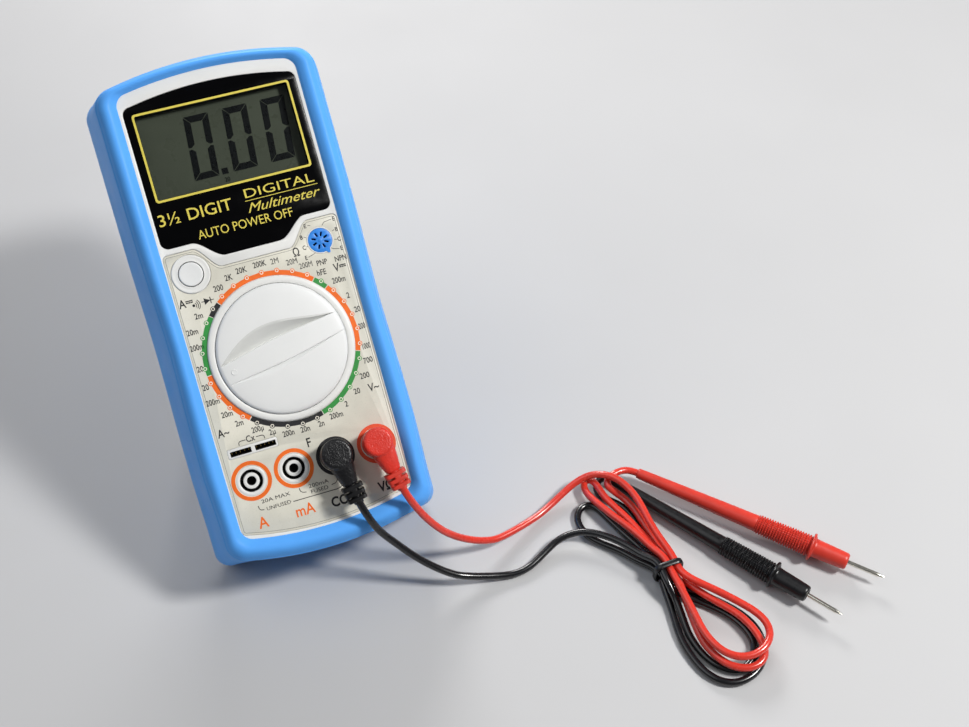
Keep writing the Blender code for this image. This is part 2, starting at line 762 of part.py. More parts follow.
def finger_scoop(side):
    """Crescent to be cut beside the bar, on one side of it."""
    sections = []
    for i in range(SCOOP_STEPS + 1):
        along = -SCOOP_REACH + 2 * SCOOP_REACH * i / SCOOP_STEPS
        near = 4.05 + 0.85 * math.cos(math.pi * along / 56) ** 2
        far = near + SCOOP_WIDTH * max(0.0, math.cos(math.pi * along / 49.6)) ** 1.5
        rim = dome_z(along, far)
        low = rim - SCOOP_DEPTH * math.cos(math.pi * along / 49.5) ** 0.8
        corners = (
            (near, SCOOP_TOP_Z),
            (near, low),
            (0.5 * (near + far), low + 0.38 * (rim - low)),
            (far, rim),
            (far, SCOOP_TOP_Z),
        )
        sections.append([(*by_pointer(along, side * across), z) for across, z in corners])
    return bridge(sections)


def build_knob():
    """Domed knob; two finger scoops leave a flush bar across its middle."""
    profile = [(-2.6, KNOB_R), (1.2, KNOB_R), (KNOB_EDGE_Z, KNOB_TOP_R)]
    profile += [(dome_z(radius, 0), radius) for radius in DOME_RADII]
    body = turned((0, DIAL_Y, 0), OUT, profile, 48)
    knob = make("selector_knob", body, CASE_WHITE, SELECTOR)
    add(knob, "knob_shaft", pointer_square(4, -13.2, -1.5), frame=SELECTOR)
    cut(knob, "knob_scoops", finger_scoop(-1), finger_scoop(1), frame=SELECTOR)


def build_rotor():
    """Disc on the knob's shaft, with two radial pockets for ball and spring."""
    body = post((0, DIAL_Y), 28.8, 32, -13.3, -8.3)
    rotor = make("selector_rotor", body, PLASTIC_BLACK, SELECTOR)
    pockets = [pointer_square(4.4, -16, -6)]
    ball_angles = [math.pi * i / BALL_STEPS for i in range(BALL_STEPS + 1)]
    ball_profile = [(-BALL_R * math.cos(a), BALL_R * math.sin(a)) for a in ball_angles]
    for k, angle in enumerate(BALL_DIRECTIONS):
        outward = (math.cos(angle), math.sin(angle), 0)
        pocket_start = (*dial_point(20.0, angle), BALL_Z)
        pockets.append(turned(pocket_start, outward, ((0, 1.85), (12.0, 1.85)), 10))
        ball = turned((*dial_point(27.6, angle), BALL_Z), outward, ball_profile, 10)
        make(f"detent_ball_{k + 1}", ball, STEEL, SELECTOR)
        spring = helix(
            (*dial_point(20.7, angle), BALL_Z),
            outward,
            coil_r=1.05,
            length=4.9,
            turns=4,
            wire_r=0.22,
            per_turn=7,
            sides=4,
        )
        make(f"detent_spring_{k + 1}", spring, STEEL, SELECTOR)
    cut(rotor, "rotor_pockets", *pockets, frame=SELECTOR)


def build_wipers():
    """Sprung contacts under the rotor."""
    for k, (radius, angle) in enumerate(WIPERS):
        cosine = math.cos(angle)
        sine = math.sin(angle)
        rings = [
            [
                (
                    radius * cosine - sine * along + offset * cosine,
                    DIAL_Y + radius * sine + cosine * along + offset * sine,
                    z,
                )
                for along, z in WIPER_OUTLINE
            ]
            for offset in (-1.1, 1.1)
        ]
        make(f"contact_wiper_{k + 1}", bridge(rings), BRASS, SELECTOR)


# ---------------------------------------------------------------- power button
def build_power_button():
    profile = ((-4.4, 4.7), (0.3, 4.7), (0.6, 4.4), (0.6, 3.4))
    cap = turned((*POWER_PLACE, 0), OUT, profile, 20)
    make("power_button_cap", cap, CASE_WHITE, POWER)
    plunger = square_post(POWER_PLACE, 1.5, -12.6, -4.7)
    make("power_switch_plunger", plunger, PLASTIC_BLACK, POWER)
    body = square_post(POWER_PLACE, 4.5, ON_BOARD_Z, -10.0)
    switch = make("power_switch_body", body, PLASTIC_BLACK)
    cut(switch, "power_switch_well", square_post(POWER_PLACE, 1.9, -16.0, -8.0))
    spring = helix(
        (*POWER_PLACE, -9.4),
        OUT,
        coil_r=2.75,
        length=4.3,
        turns=3,
        wire_r=0.28,
        per_turn=9,
        sides=4,
    )
    make("power_return_spring", spring, STEEL)


# ---------------------------------------------------------------- tilt stand
OPENING_SPAN = (14.0, 62.0)  # distances down the stand from the hinge
OPENING_HALF_WIDTH = 19.0
OPENING_HALF_DEPTH = STAND_THICK / 2 + 6.0  # well clear of both faces
PIVOT_OVERHANG = 2.6


def stand_slab(world_side_view, half_width):
    """Solid from a world side view, running across the meter."""
    points = [world_to_face(point) for point in world_side_view]
    return extrude_x([(point.y, point.z) for point in points], -half_width, half_width)


def hinge_rod(overhang, radius, steps):
    start = (-STAND_HALF - overhang, STAND_Y, STAND_Z)
    profile = ((0, radius), (2 * (STAND_HALF + overhang), radius))
    return turned(start, ACROSS, profile, steps)


def build_stand():
    hinge = face_to_world(0.0, STAND_Y, STAND_Z)
    down = Vector((0.0, STAND_REACH, -hinge.z)).normalized()
    across = Vector((0.0, -down.z, down.y))
    tops = [hinge + across * (sign * STAND_THICK / 2) for sign in (1, -1)]
    feet = [top - down * (top.z / down.z) for top in tops]  # on the table
    body = stand_slab([tops[0], feet[0], feet[1], tops[1]], STAND_HALF)
    stand = make("tilt_stand", body, CASE_WHITE, HINGE)
    add(stand, "stand_barrel", hinge_rod(0.0, BARREL_R, 16), frame=HINGE)
    add(stand, "stand_pivots", hinge_rod(PIVOT_OVERHANG, 1.25, 12), frame=HINGE)
    start, stop = OPENING_SPAN
    depth = OPENING_HALF_DEPTH
    corners = ((start, depth), (stop, depth), (stop, -depth), (start, -depth))
    opening = [hinge + down * along + across * offset for along, offset in corners]
    cut(stand, "stand_opening", stand_slab(opening, OPENING_HALF_WIDTH), frame=HINGE)


# ---------------------------------------------------------------- plugs
ARM_Z = 9.5
CABLE_EXIT = 20.4  # from the jack's axis, along the arm
# (distance from the jack's axis, radius): taper, then three ribs
ARM_PROFILE = (
    (1.0, 4.3), (8.0, 3.9), (11.6, 3.2),
    (12.0, 4.0), (13.4, 4.0), (13.6, 2.9), (14.6, 2.9),
    (14.8, 3.7), (16.0, 3.7), (16.2, 2.7), (17.2, 2.7),
    (17.4, 3.4), (18.6, 3.4), (18.8, 2.5), (20.0, 2.3),
)
PIN_PROFILE = ((-15.6, 0.9), (-14.8, 1.85), (0.2, 1.85))


def build_plug(colour, frame, lean, head_r, mat):
    """Right-angle plug with a round head over the jack.

    The arm points down the face, turned by lean towards +x. Returns the world
    point where the cable leaves it.
    """
    jack = frame.origin
    head_profile = ((0.6, head_r - 0.3), (12.6, head_r), (14.2, head_r - 1.4))
    boot = make(f"{colour}_plug_boot", turned(jack, OUT, head_profile, 18), mat, frame)
    direction = Vector((math.sin(lean), -math.cos(lean), 0.0))
    arm_start = Vector((jack.x, jack.y, ARM_Z))
    arm = turned(arm_start, direction, ARM_PROFILE, 10)
    add(boot, f"{colour}_plug_arm", arm, frame=frame)
    make(f"{colour}_plug_pin", turned(jack, OUT, PIN_PROFILE, 10), NICKEL, frame)
    return face_to_world(*(arm_start + direction * CABLE_EXIT))


# ---------------------------------------------------------------- probes
# World ends of each handle: tail, nose
RED_PROBE = (Vector((136.0, -24.4, 6.6)), Vector((200.0, -95.9, 6.2)))
BLACK_PROBE = (Vector((124.9, -21.8, 3.4)), Vector((176.5, -103.6, 6.4)))
GUARD_TO_NOSE = 15.4
TIP_PROFILE = ((0, 0.95), (12.6, 0.95), (16.0, 0.12))


def probe_direction(ends):
    tail, nose = ends
    return (nose - tail).normalized()


def build_probe(colour, ends, mat):
    """Tapered handle with a finger guard, and the metal tip."""
    tail, nose = ends
    direction = probe_direction(ends)
    length = (nose - tail).length
    guard = length - GUARD_TO_NOSE
    profile = (
        (0.0, 1.9),
        (0.6, 2.2),
        (guard - 25.0, 3.6),
        (guard - 24.6, 3.85),
        (guard - 1.4, 4.5),
        (guard - 1.0, 6.0),
        (guard + 0.4, 6.1),
        (guard + 0.9, 4.2),
        (length - 0.8, 3.55),
        (length, 2.9),
    )
    make(f"{colour}_probe_handle", turned(tail, direction, profile, 14), mat, WORLD)
    tip = turned(nose + direction * 0.35, direction, TIP_PROFILE, 8)
    make(f"{colour}_probe_tip", tip, NICKEL, WORLD)


# ---------------------------------------------------------------- cable routes
# World points of each stretch between passes through the tie. Both leads come
# in, go round a forward (-Y) loop, a rear loop and a second forward loop, and
# run out to the probe.
RED_STRETCHES = (
    (
        (83.6, -29, 2.4), (94.5, -24.3, 2.8), (106, -19.6, 5), (110.3, -18.9, 6.6),
        (114.1, -18.9, 8.2), (117.9, -20.7, 10), (121.5, -23.4, 11.2), (124.7, -26.8, 11.4),
        (127.1, -31.8, 11.2), (128.6, -37.2, 10.8), (129, -43.1, 10.8), (129.2, -54, 10.2),
    ),
    (
        (134.6, -82.3, 9.3), (141.3, -89.7, 8.8), (147.5, -97.3, 8.4), (152.4, -104.6, 8.2),
        (154, -111, 8), (152, -116.1, 7.9), (147.7, -119.5, 7.9), (142.5, -120.7, 8),
        (137.2, -119.7, 8.2), (132.6, -116.3, 8.3), (129.6, -110.8, 8.4), (128.1, -104.1, 8.6),
        (128.1, -96.2, 8.7), (128, -86.7, 8.9),
    ),
    (
        (125.5, -62.9, 8.2), (123.6, -55.6, 7.6), (120.6, -48.4, 7.2), (117, -41.1, 6.8),
        (114.4, -34.7, 6), (112.4, -28.8, 5), (111.5, -23.6, 4), (112.3, -19.4, 3.4),
        (114.2, -17.7, 3.5), (116, -18.5, 4.6), (117.4, -22.6, 5.4), (117.8, -28.6, 5.4),
        (119.3, -34.2, 5.3), (121.6, -40.1, 5.2), (123.9, -47.1, 5.2), (125.9, -54.4, 5.5),
    ),
    (
        (128.2, -85.7, 5.7), (127.5, -95.7, 5.3), (127, -102.2, 5.2), (127.2, -108.8, 5),
        (129, -114, 4.9), (131.7, -119.2, 4.8), (136.2, -122.8, 4.7), (141.3, -124.2, 4.6),
        (146.4, -122.6, 4.7), (148.7, -119.5, 4.9), (149.3, -114.1, 5), (148.6, -107.8, 5),
        (146.1, -101.1, 5), (142, -95.3, 5), (136.6, -88.2, 4.8), (132.4, -81.4, 4),
    ),
    (
        (128.5, -57, 4.2), (127.5, -49, 4.8), (127.3, -43.1, 5), (126.5, -37.9, 5),
        (124.3, -32.2, 5.4), (121.8, -28.8, 6.4), (119.8, -26.1, 7.3), (120.9, -23.7, 7.6),
        (124.3, -22.1, 7.7), (127.6, -21.1, 7.5),
    ),
)
BLACK_STRETCHES = (
    (
        (61, -49.2, 1.7), (72.8, -49.6, 1.7), (82.6, -45.6, 2.4), (90.4, -42.2, 3.8),
        (96.6, -41.9, 5), (101.2, -43, 5.9), (106.4, -46, 6.4), (110.6, -49.8, 6.8),
        (114.3, -54, 7), (117.8, -59, 7.2), (120.1, -63.5, 7.9),
    ),
    (
        (125.3, -83.8, 5.4), (124.5, -93.3, 3.2), (123.6, -100.6, 2.4), (124.5, -107.3, 2),
        (126, -112.3, 1.8), (128.5, -116.8, 1.7), (131.8, -120.1, 1.7), (136.6, -122, 1.7),
        (141.7, -120.8, 1.7), (145.7, -116.9, 1.7), (147.7, -111.5, 1.7), (147.1, -105.8, 1.7),
        (144.7, -99.6, 1.7), (140.2, -93.2, 1.7), (133.6, -85.7, 1.8), (128.6, -81.2, 3.4),
    ),
    (
        (123.5, -61.9, 4.2), (122.3, -57.4, 2.8), (118.3, -46, 1.9), (115.5, -37.6, 1.7),
        (113.8, -32.5, 1.7), (111.4, -29, 1.7), (107.8, -28.8, 1.7), (104.6, -31.4, 1.7),
        (102.9, -34.9, 1.7), (102.9, -39.1, 1.7), (104.7, -44.7, 1.7), (108.8, -49.9, 1.7),
        (113.1, -54.2, 1.8), (116.4, -58.6, 2), (119.5, -63.3, 2.4),
    ),
    (
        (123.3, -87.1, 2), (121.9, -94.8, 1.7), (120.9, -102.7, 1.7), (121.2, -109.5, 1.7),
        (122.3, -115.3, 1.7), (124.3, -120, 1.7), (127.9, -124.2, 1.7), (133, -126.4, 1.7),
        (139.3, -126, 1.7), (145.1, -123.3, 1.7), (149.4, -118.5, 1.7), (151.3, -112.5, 1.7),
        (150.9, -106.1, 1.7), (147.9, -99.6, 1.7), (142.9, -93, 1.7), (136.4, -85.7, 1.7),
        (130.2, -80.2, 2.2),
    ),
    (
        (127.1, -59.9, 2), (127.1, -50, 1.8), (125.9, -40.6, 1.8), (123.7, -34.1, 1.8),
        (120.3, -30.4, 1.7), (117.3, -26.8, 1.7), (116.9, -22.6, 1.7), (118.9, -19.2, 2.2),
    ),
)
# Places in the tie in order of passing, on a packed 3-2-3 pattern:
# steps across, steps up
RED_SLOTS = ((1, 1), (0, 1), (0.5, 0), (1, -1))
BLACK_SLOTS = ((-1, 1), (-0.5, 0), (-1, -1), (0, -1))
SLOT_PITCH_X = 3.5
SLOT_PITCH_Z = 3.1
SLOT_REACH = 4.0  # straight run on each side of the tie

# World points from the plug down to the table
RED_LEAD_IN = (
    (33, -27, 41), (37.5, -30, 32), (43.8, -32.4, 22.5), (52.8, -33.7, 13.5),
    (62.8, -34, 7.2), (72.8, -33, 3.8), (82.8, -29.3, 2.4),
)
BLACK_LEAD_IN = (
    (14, -27, 42), (17, -30, 35), (22, -33, 28), (28, -36.8, 20.5),
    (35, -40.6, 13.5), (43, -44.4, 7.8), (52, -47.1, 3.6), (60.2, -49.1, 1.75),
)


def route(stretches, slots, ending):
    """Join the stretches by passes through the tie, alternately forward and back."""
    path = list(stretches[0])
    for k, ((across, up), stretch) in enumerate(zip(slots, stretches[1:])):
        slot = Vector((TIE_X + SLOT_PITCH_X * across, TIE_Y, TIE_Z + SLOT_PITCH_Z * up))
        reach = Vector((0, SLOT_REACH, 0))
        crossing = [slot + reach, slot, slot - reach]
        path += crossing[::-1] if k % 2 else crossing
        path += stretch
    return path + ending


def spline(points, spacing):
    """Evenly spaced points on a Catmull-Rom curve through the given points."""
    knots = [Vector(point) for point in points]
    knots = [knots[0] * 2 - knots[1]] + knots + [knots[-1] * 2 - knots[-2]]
    dense = []
    for before, start, end, after in zip(knots, knots[1:], knots[2:], knots[3:]):
        for k in range(24):
            t = k / 24
            dense.append(
                0.5
                * (
                    2 * start
                    + (end - before) * t
                    + (2 * before - 5 * start + 4 * end - after) * t * t
                    + (3 * start - before - 3 * end + after) * t**3
                )
            )
    dense.append(knots[-2])
    lengths = [0.0]
    for here, there in zip(dense, dense[1:]):
        lengths.append(lengths[-1] + (there - here).length)
    count = max(2, round(lengths[-1] / spacing))
    even = []
    j = 0
    for i in range(count + 1):
        goal = lengths[-1] * i / count
        while j < len(dense) - 2 and lengths[j + 1] < goal:
            j += 1
        t = (goal - lengths[j]) / max(lengths[j + 1] - lengths[j], 1e-9)
        even.append(dense[j].lerp(dense[j + 1], min(max(t, 0.0), 1.0)))
    return even


# ---------------------------------------------------------------- cable spacing
SPACING = 2.0  # between points along a cable
CLEARANCE = 2 * CABLE_R + 0.7  # wanted between strand centre lines
NEIGHBOUR_LENGTH = 9.0  # points this close along a cable don't repel
ROUNDS = 170
SETTLE_ROUNDS = 70  # last rounds, without evening out
STRAND_SHARE = 0.28  # share of an overlap between strands undone per round
PROBE_SHARE = 0.5  # the same against the probes
MAX_MOVE = 0.6  # furthest a point is pushed in a round
EVEN_SHARE = 0.35  # how strongly shifts are evened out along a cable
HELD_END_POINTS = 3
HELD_X = 7  # half size of the held region about the tie
HELD_Y = 4.5
TABLE_GAP = 0.1


def probe_obstacles():
    """World centres of spheres along both probe handles, and their reach."""
    centres, reaches = [], []
    for tail, nose in (RED_PROBE, BLACK_PROBE):
        for i in range(1, 60):
            t = i / 60
            centres.append(list(tail.lerp(nose, t)))
            reaches.append(2.2 + 2.3 * t + CABLE_R + 0.5)
    return np.array(centres), np.array(reaches)


def push_apart(points, others, reach):
    """Sum of the moves that would take each point out of reach of the others."""
    delta = points[:, None, :] - others[None, :, :]
    distance = np.sqrt((delta**2).sum(2)) + 1e-9
    overlap = np.clip(reach - distance, 0.0, None)
    return (delta / distance[:, :, None] * overlap[:, :, None]).sum(1)


def relax(cables):
    """Push crossing strands apart, evenly along them, and above the table.

    Ends and the stretches inside the tie stay where they are.
    """
    places = np.array([list(point) for cable in cables for point in cable])
    home = places.copy()
    owner = np.concatenate([[k] * len(cable) for k, cable in enumerate(cables)])
    index = np.concatenate([np.arange(len(cable)) for cable in cables])
    count = np.concatenate([[len(cable)] * len(cable) for cable in cables])
    held = (np.abs(places[:, 1] - TIE_Y) < HELD_Y) & (np.abs(places[:, 0] - TIE_X) < HELD_X)
    held |= (index < HELD_END_POINTS) | (index >= count - HELD_END_POINTS)
    free = ~held
    inner = np.where((index > 0) & (index < count - 1))[0]
    along = np.abs(index[:, None] - index[None, :]) * SPACING
    neighbours = (owner[:, None] == owner[None, :]) & (along < NEIGHBOUR_LENGTH)
    strand_reach = np.where(neighbours, 0.0, CLEARANCE)
    obstacles, obstacle_reach = probe_obstacles()
    for step in range(ROUNDS):
        move = push_apart(places, places, strand_reach) * STRAND_SHARE
        move += push_apart(places, obstacles, obstacle_reach) * PROBE_SHARE
        size = np.sqrt((move**2).sum(1, keepdims=True)) + 1e-9
        move *= np.minimum(size, MAX_MOVE) / size
        places[free] += move[free]
        if step < ROUNDS - SETTLE_ROUNDS:
            shift = places - home
            bend = 0.5 * (shift[inner - 1] + shift[inner + 1]) - shift[inner]
            evening = np.zeros_like(places)
            evening[inner] = EVEN_SHARE * bend
            places[free] += evening[free]
        places[free, 2] = np.maximum(places[free, 2], CABLE_R + TABLE_GAP)
    ends = np.cumsum([len(cable) for cable in cables])[:-1]
    return [[Vector(point) for point in path] for path in np.split(places, ends)]


def build_cables():
    red_tail = RED_PROBE[0]
    red_back = probe_direction(RED_PROBE)
    red_ending = [
        red_tail - red_back * 5.6 + Vector((-0.2, -0.9, 0.2)),
        red_tail - red_back * 3.0,
        red_tail - red_back * 0.9,
    ]
    black_tail = BLACK_PROBE[0]
    black_back = probe_direction(BLACK_PROBE)
    black_ending = [black_tail - black_back * 3.0, black_tail - black_back * 0.9]
    red_path, black_path = relax([
        spline(route(RED_STRETCHES, RED_SLOTS, red_ending), SPACING),
        spline(route(BLACK_STRETCHES, BLACK_SLOTS, black_ending), SPACING),
    ])
    for colour, path, mat in (("red", red_path, LEAD_RED), ("black", black_path, LEAD_BLACK)):
        thinned = path[:-1:2] + [path[-1]]
        make(f"{colour}_cable", swept(thinned, CABLE_R, 5), mat, WORLD)


def build_lead_in(colour, plug_exit, points, mat):
    path = spline([plug_exit, *points], 5.0)
    make(f"{colour}_lead_in", swept(path, CABLE_R, 6), mat, WORLD)


# ---------------------------------------------------------------- cable tie
TIE_HALF_X = 5.6  # inside of the loop
TIE_HALF_Z = 4.95
TIE_CORNER = 2.0
TIE_THICK = 0.8
TIE_HALF_WIDTH = 1.2


def tie_ring(grow, y):
    """Rounded rectangle about the strands, grown outwards from the inside."""
    corner = TIE_CORNER + grow
    ring = []
    for k, (side_x, side_z) in enumerate(((1, 1), (-1, 1), (-1, -1), (1, -1))):
        x = TIE_X + side_x * (TIE_HALF_X - TIE_CORNER)
        z = TIE_Z + side_z * (TIE_HALF_Z - TIE_CORNER)
        for i in range(5):
            angle = k * math.pi / 2 + math.pi / 2 * i / 4
            ring.append((x + corner * math.cos(angle), TIE_Y + y, z + corner * math.sin(angle)))
    return ring


def build_cable_tie():
    """Flattened loop round the eight strands."""
    rings = [
        tie_ring(0.0, TIE_HALF_WIDTH),
        tie_ring(0.0, -TIE_HALF_WIDTH),
        tie_ring(TIE_THICK, -TIE_HALF_WIDTH),
        tie_ring(TIE_THICK, TIE_HALF_WIDTH),
    ]
    make("cable_tie", bridge(rings, closed=True), LEAD_BLACK, WORLD)


# ---------------------------------------------------------------- assembly
build_holster()
build_front_case()
build_rear_case()
build_screws("case_screw", CASE_SCREWS, CASE_SCREW_PROFILE)

build_display_window()
build_face_label()
build_transistor_socket()
build_capacitor_socket()
build_input_jacks()

build_board()
build_screws("pcb_screw", BOARD_SCREWS, BOARD_SCREW_PROFILE)
for block_name, extents, block_material in BLOCKS:
    make(block_name, box(*extents), block_material)
build_lcd_frame()
build_buzzer()
build_fuse()
build_shunt()
build_battery()

build_knob()
build_rotor()
build_wipers()
build_power_button()
build_stand()

red_exit = build_plug("red", RED_JACK, math.radians(12), 5.9, LEAD_RED)
black_exit = build_plug("black", BLACK_JACK, math.radians(9), 6.2, LEAD_BLACK)
build_probe("red", RED_PROBE, LEAD_RED)
build_probe("black", BLACK_PROBE, LEAD_BLACK)
build_cables()
build_lead_in("red", red_exit, RED_LEAD_IN, LEAD_RED)
build_lead_in("black", black_exit, BLACK_LEAD_IN, LEAD_BLACK)
build_cable_tie()
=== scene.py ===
"""Looks for the digital multimeter with its two coiled test leads.

Everything is built in millimetres in one of two frames and turned into metres
of the row frame when a mesh is made:
  meter frame (u, v, w): u right across the face, v up the face, w out of it,
  world frame (x, y, z): the row frame itself.
"""

import json
import math

import bmesh
import bpy
import numpy as np
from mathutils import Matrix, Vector, geometry, noise

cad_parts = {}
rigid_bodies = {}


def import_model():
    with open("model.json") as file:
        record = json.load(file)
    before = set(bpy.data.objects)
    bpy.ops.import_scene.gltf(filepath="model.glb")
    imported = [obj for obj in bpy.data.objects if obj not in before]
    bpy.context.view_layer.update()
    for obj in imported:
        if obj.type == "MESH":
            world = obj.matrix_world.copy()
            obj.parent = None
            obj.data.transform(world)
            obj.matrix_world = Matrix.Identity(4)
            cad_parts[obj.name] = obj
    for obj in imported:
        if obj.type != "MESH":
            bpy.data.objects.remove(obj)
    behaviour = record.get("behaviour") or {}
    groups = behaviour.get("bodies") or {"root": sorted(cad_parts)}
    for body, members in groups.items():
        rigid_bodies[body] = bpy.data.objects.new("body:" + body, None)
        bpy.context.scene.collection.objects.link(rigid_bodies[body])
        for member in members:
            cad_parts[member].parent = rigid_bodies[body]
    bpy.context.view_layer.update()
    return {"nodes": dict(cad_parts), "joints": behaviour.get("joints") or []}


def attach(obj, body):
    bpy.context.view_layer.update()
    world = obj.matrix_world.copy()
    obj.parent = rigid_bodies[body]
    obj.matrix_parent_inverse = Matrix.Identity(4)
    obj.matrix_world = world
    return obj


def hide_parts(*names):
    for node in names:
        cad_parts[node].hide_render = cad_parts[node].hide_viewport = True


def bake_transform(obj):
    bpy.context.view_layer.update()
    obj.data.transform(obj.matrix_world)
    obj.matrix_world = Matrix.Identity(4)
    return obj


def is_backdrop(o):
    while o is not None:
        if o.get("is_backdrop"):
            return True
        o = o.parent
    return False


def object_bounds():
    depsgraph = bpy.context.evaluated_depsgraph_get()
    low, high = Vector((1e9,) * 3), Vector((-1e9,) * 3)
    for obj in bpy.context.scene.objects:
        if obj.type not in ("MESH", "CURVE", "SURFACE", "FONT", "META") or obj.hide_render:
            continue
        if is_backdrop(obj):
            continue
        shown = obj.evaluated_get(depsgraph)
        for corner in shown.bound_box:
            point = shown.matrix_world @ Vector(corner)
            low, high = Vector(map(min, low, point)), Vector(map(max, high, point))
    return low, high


for old in list(bpy.data.objects):
    bpy.data.objects.remove(old, do_unlink=True)

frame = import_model()
NODES = frame["nodes"]
JOINTS = {j["name"]: j for j in frame["joints"]}

MM = 0.001
PI = math.pi
deg = math.radians

# The selector's joint gives the dial's centre and the face's normal.
DIAL_V = -3.5
N = Vector(JOINTS["selector_turn"]["axis"]).normalized()
U = Vector((1.0, 0.0, 0.0))
V = N.cross(U)
ORIGIN = Vector(JOINTS["selector_turn"]["pos_m"]) - V * (DIAL_V * MM)
TO_WORLD = np.array([list(U), list(V), list(N)]) * MM


def F(u, v, w):
    """Meter frame, mm -> world, mm."""
    return ORIGIN / MM + U * u + V * v + N * w


BACK_W = -44.0
BASE_V = -87.0
SPLIT_W = -17.0
CASE_BACK_W = -40.2
POINTER = deg(190.7)
JACK_V = -50.6
JACK_U = (-25.8, -8.6, 8.6, 25.8)
POWER_UV = (-26.1, 33.9)
HFE_UV = (26.2, 34.0)
CX_BOX = (-31.9, -11.8, -40.3, -36.4)
CASE_SCREWS = ((-33.0, -70.0), (33.0, -70.0), (0.0, 105.5))
STAND_V, STAND_W, STAND_HALF, STAND_THICK, STAND_REACH = 30.0, -42.0, 28.0, 2.6, 35.0
CABLE_R = 1.5
TIE = (127.8, -72.7, 6.0)
EXIT_W = 9.5


# ------------------------------------------------------------------ materials
def srgb(r, g, b):
    out = []
    for c in (r, g, b):
        c /= 255
        out.append(c / 12.92 if c <= 0.04045 else ((c + 0.055) / 1.055) ** 2.4)
    return tuple(out)


def link(nt, a, b):
    nt.links.new(a, b)


def surface(
    name,
    rgb,
    rough=0.4,
    mottle=0.05,
    mottle_mm=9.0,
    grain_mm=0.35,
    grain=0.012,
    rough_var=0.06,
    metallic=0.0,
    coat=0.0,
    specular=0.5,
    sss=0.0,
    brushed=None,
    speck=None,
    edge_lift=0.0,
):
    """Moulded or printed surface: drifting colour, fine relief, uneven sheen."""
    mat = bpy.data.materials.new(name)
    mat.use_nodes = True
    nt = mat.node_tree
    shader = nt.nodes["Principled BSDF"]
    coords = nt.nodes.new("ShaderNodeTexCoord").outputs["Object"]

    def cloud(size_mm, detail, vector=coords):
        node = nt.nodes.new("ShaderNodeTexNoise")
        node.inputs["Scale"].default_value = 1000.0 / size_mm
        node.inputs["Detail"].default_value = detail
        node.inputs["Roughness"].default_value = 0.55
        link(nt, vector, node.inputs["Vector"])
        return node.outputs["Fac"]

    def blend(fac, a, b, kind="MIX"):
        node = nt.nodes.new("ShaderNodeMix")
        node.data_type = "RGBA"
        node.blend_type = kind
        for key, value in ((6, a), (7, b)):
            if isinstance(value, tuple):
                node.inputs[key].default_value = (*value, 1.0)
            else:
                link(nt, value, node.inputs[key])
        if isinstance(fac, float):
            node.inputs[0].default_value = fac
        else:
            link(nt, fac, node.inputs[0])
        return node.outputs[2]

    def remap(value, lo, hi, a, b):
        node = nt.nodes.new("ShaderNodeMapRange")
        link(nt, value, node.inputs["Value"])
        for key, v in (("From Min", lo), ("From Max", hi), ("To Min", a), ("To Max", b)):
            node.inputs[key].default_value = v
        return node.outputs["Result"]

    dark = tuple(c * (1 - mottle) for c in rgb)
    light = tuple(min(1.0, c * (1 + mottle)) for c in rgb)
    colour = blend(remap(cloud(mottle_mm, 4.0), 0.35, 0.65, 0.0, 1.0), dark, light)
    if speck:
        size, tint, amount = speck
        spots = remap(cloud(size, 1.0), 0.62, 0.72, 0.0, amount)
        colour = blend(spots, colour, tint)
    # Colour lighter on sharp convex edges and crests, driven by the surface's pointiness.
    if edge_lift:
        geo = nt.nodes.new("ShaderNodeNewGeometry").outputs["Pointiness"]
        edge_colour = tuple(min(1.0, c * 1.25 + 0.02) for c in rgb)
        colour = blend(remap(geo, 0.52, 0.62, 0.0, edge_lift), colour, edge_colour)
    link(nt, colour, shader.inputs["Base Color"])
    link(
        nt,
        remap(cloud(mottle_mm * 0.4, 3.0), 0.3, 0.7, rough - rough_var, rough + rough_var),
        shader.inputs["Roughness"],
    )
    shader.inputs["Metallic"].default_value = metallic
    shader.inputs["Specular IOR Level"].default_value = specular
    if coat:
        shader.inputs["Coat Weight"].default_value = coat
        shader.inputs["Coat Roughness"].default_value = 0.12
    if sss:
        shader.inputs["Subsurface Weight"].default_value = sss
        shader.inputs["Subsurface Scale"].default_value = 0.001
        shader.inputs["Subsurface Radius"].default_value = (1.0, 0.8, 0.6)
    if grain:
        vector = coords
        if brushed:
            stretch = nt.nodes.new("ShaderNodeMapping")
            stretch.inputs["Scale"].default_value = brushed
            link(nt, coords, stretch.inputs["Vector"])
            vector = stretch.outputs["Vector"]
        bump = nt.nodes.new("ShaderNodeBump")
        bump.inputs["Distance"].default_value = grain * MM
        bump.inputs["Strength"].default_value = 1.0
        link(nt, cloud(grain_mm, 2.0, vector), bump.inputs["Height"])
        link(nt, bump.outputs["Normal"], shader.inputs["Normal"])
    return mat


BLUE = surface("holster_tpr", srgb(92, 171, 253), 0.42, 0.03, 30, 0.5, 0.006, 0.05, specular=0.12, coat=0.0, edge_lift=0.12)
WHITE = surface("case_abs", srgb(233, 233, 230), 0.36, 0.02, 22, 0.4, 0.006, 0.05)
WHITE_BACK = surface("case_abs_textured", srgb(226, 225, 220), 0.48, 0.03, 22, 0.6, 0.035, 0.08)
KNOB_WHITE = surface("knob_abs", srgb(233, 234, 233), 0.38, 0.015, 18, 0.35, 0.005, 0.04)
# Darker grey copy of the knob plastic: painted shade for the scoop above the bar, where that slope faces away from the
# key light.
KNOB_PAINTED_SHADE = surface("knob_abs_painted_shade", srgb(214, 215, 212), 0.5, 0.015, 18, 0.35, 0.005, 0.04)
LABEL = surface("label_film", srgb(220, 217, 203), 0.5, 0.03, 6, 0.5, 0.006, 0.05, speck=(0.5, srgb(204, 201, 186), 0.5))
MASK = surface("mask_gloss", srgb(4, 4, 5), 0.16, 0.2, 14, 0.6, 0.001, 0.04, specular=0.12)
LCD_BACK = surface("lcd_polariser", srgb(78, 81, 70), 0.3, 0.05, 14, 0.3, 0.002, 0.05, specular=0.25)
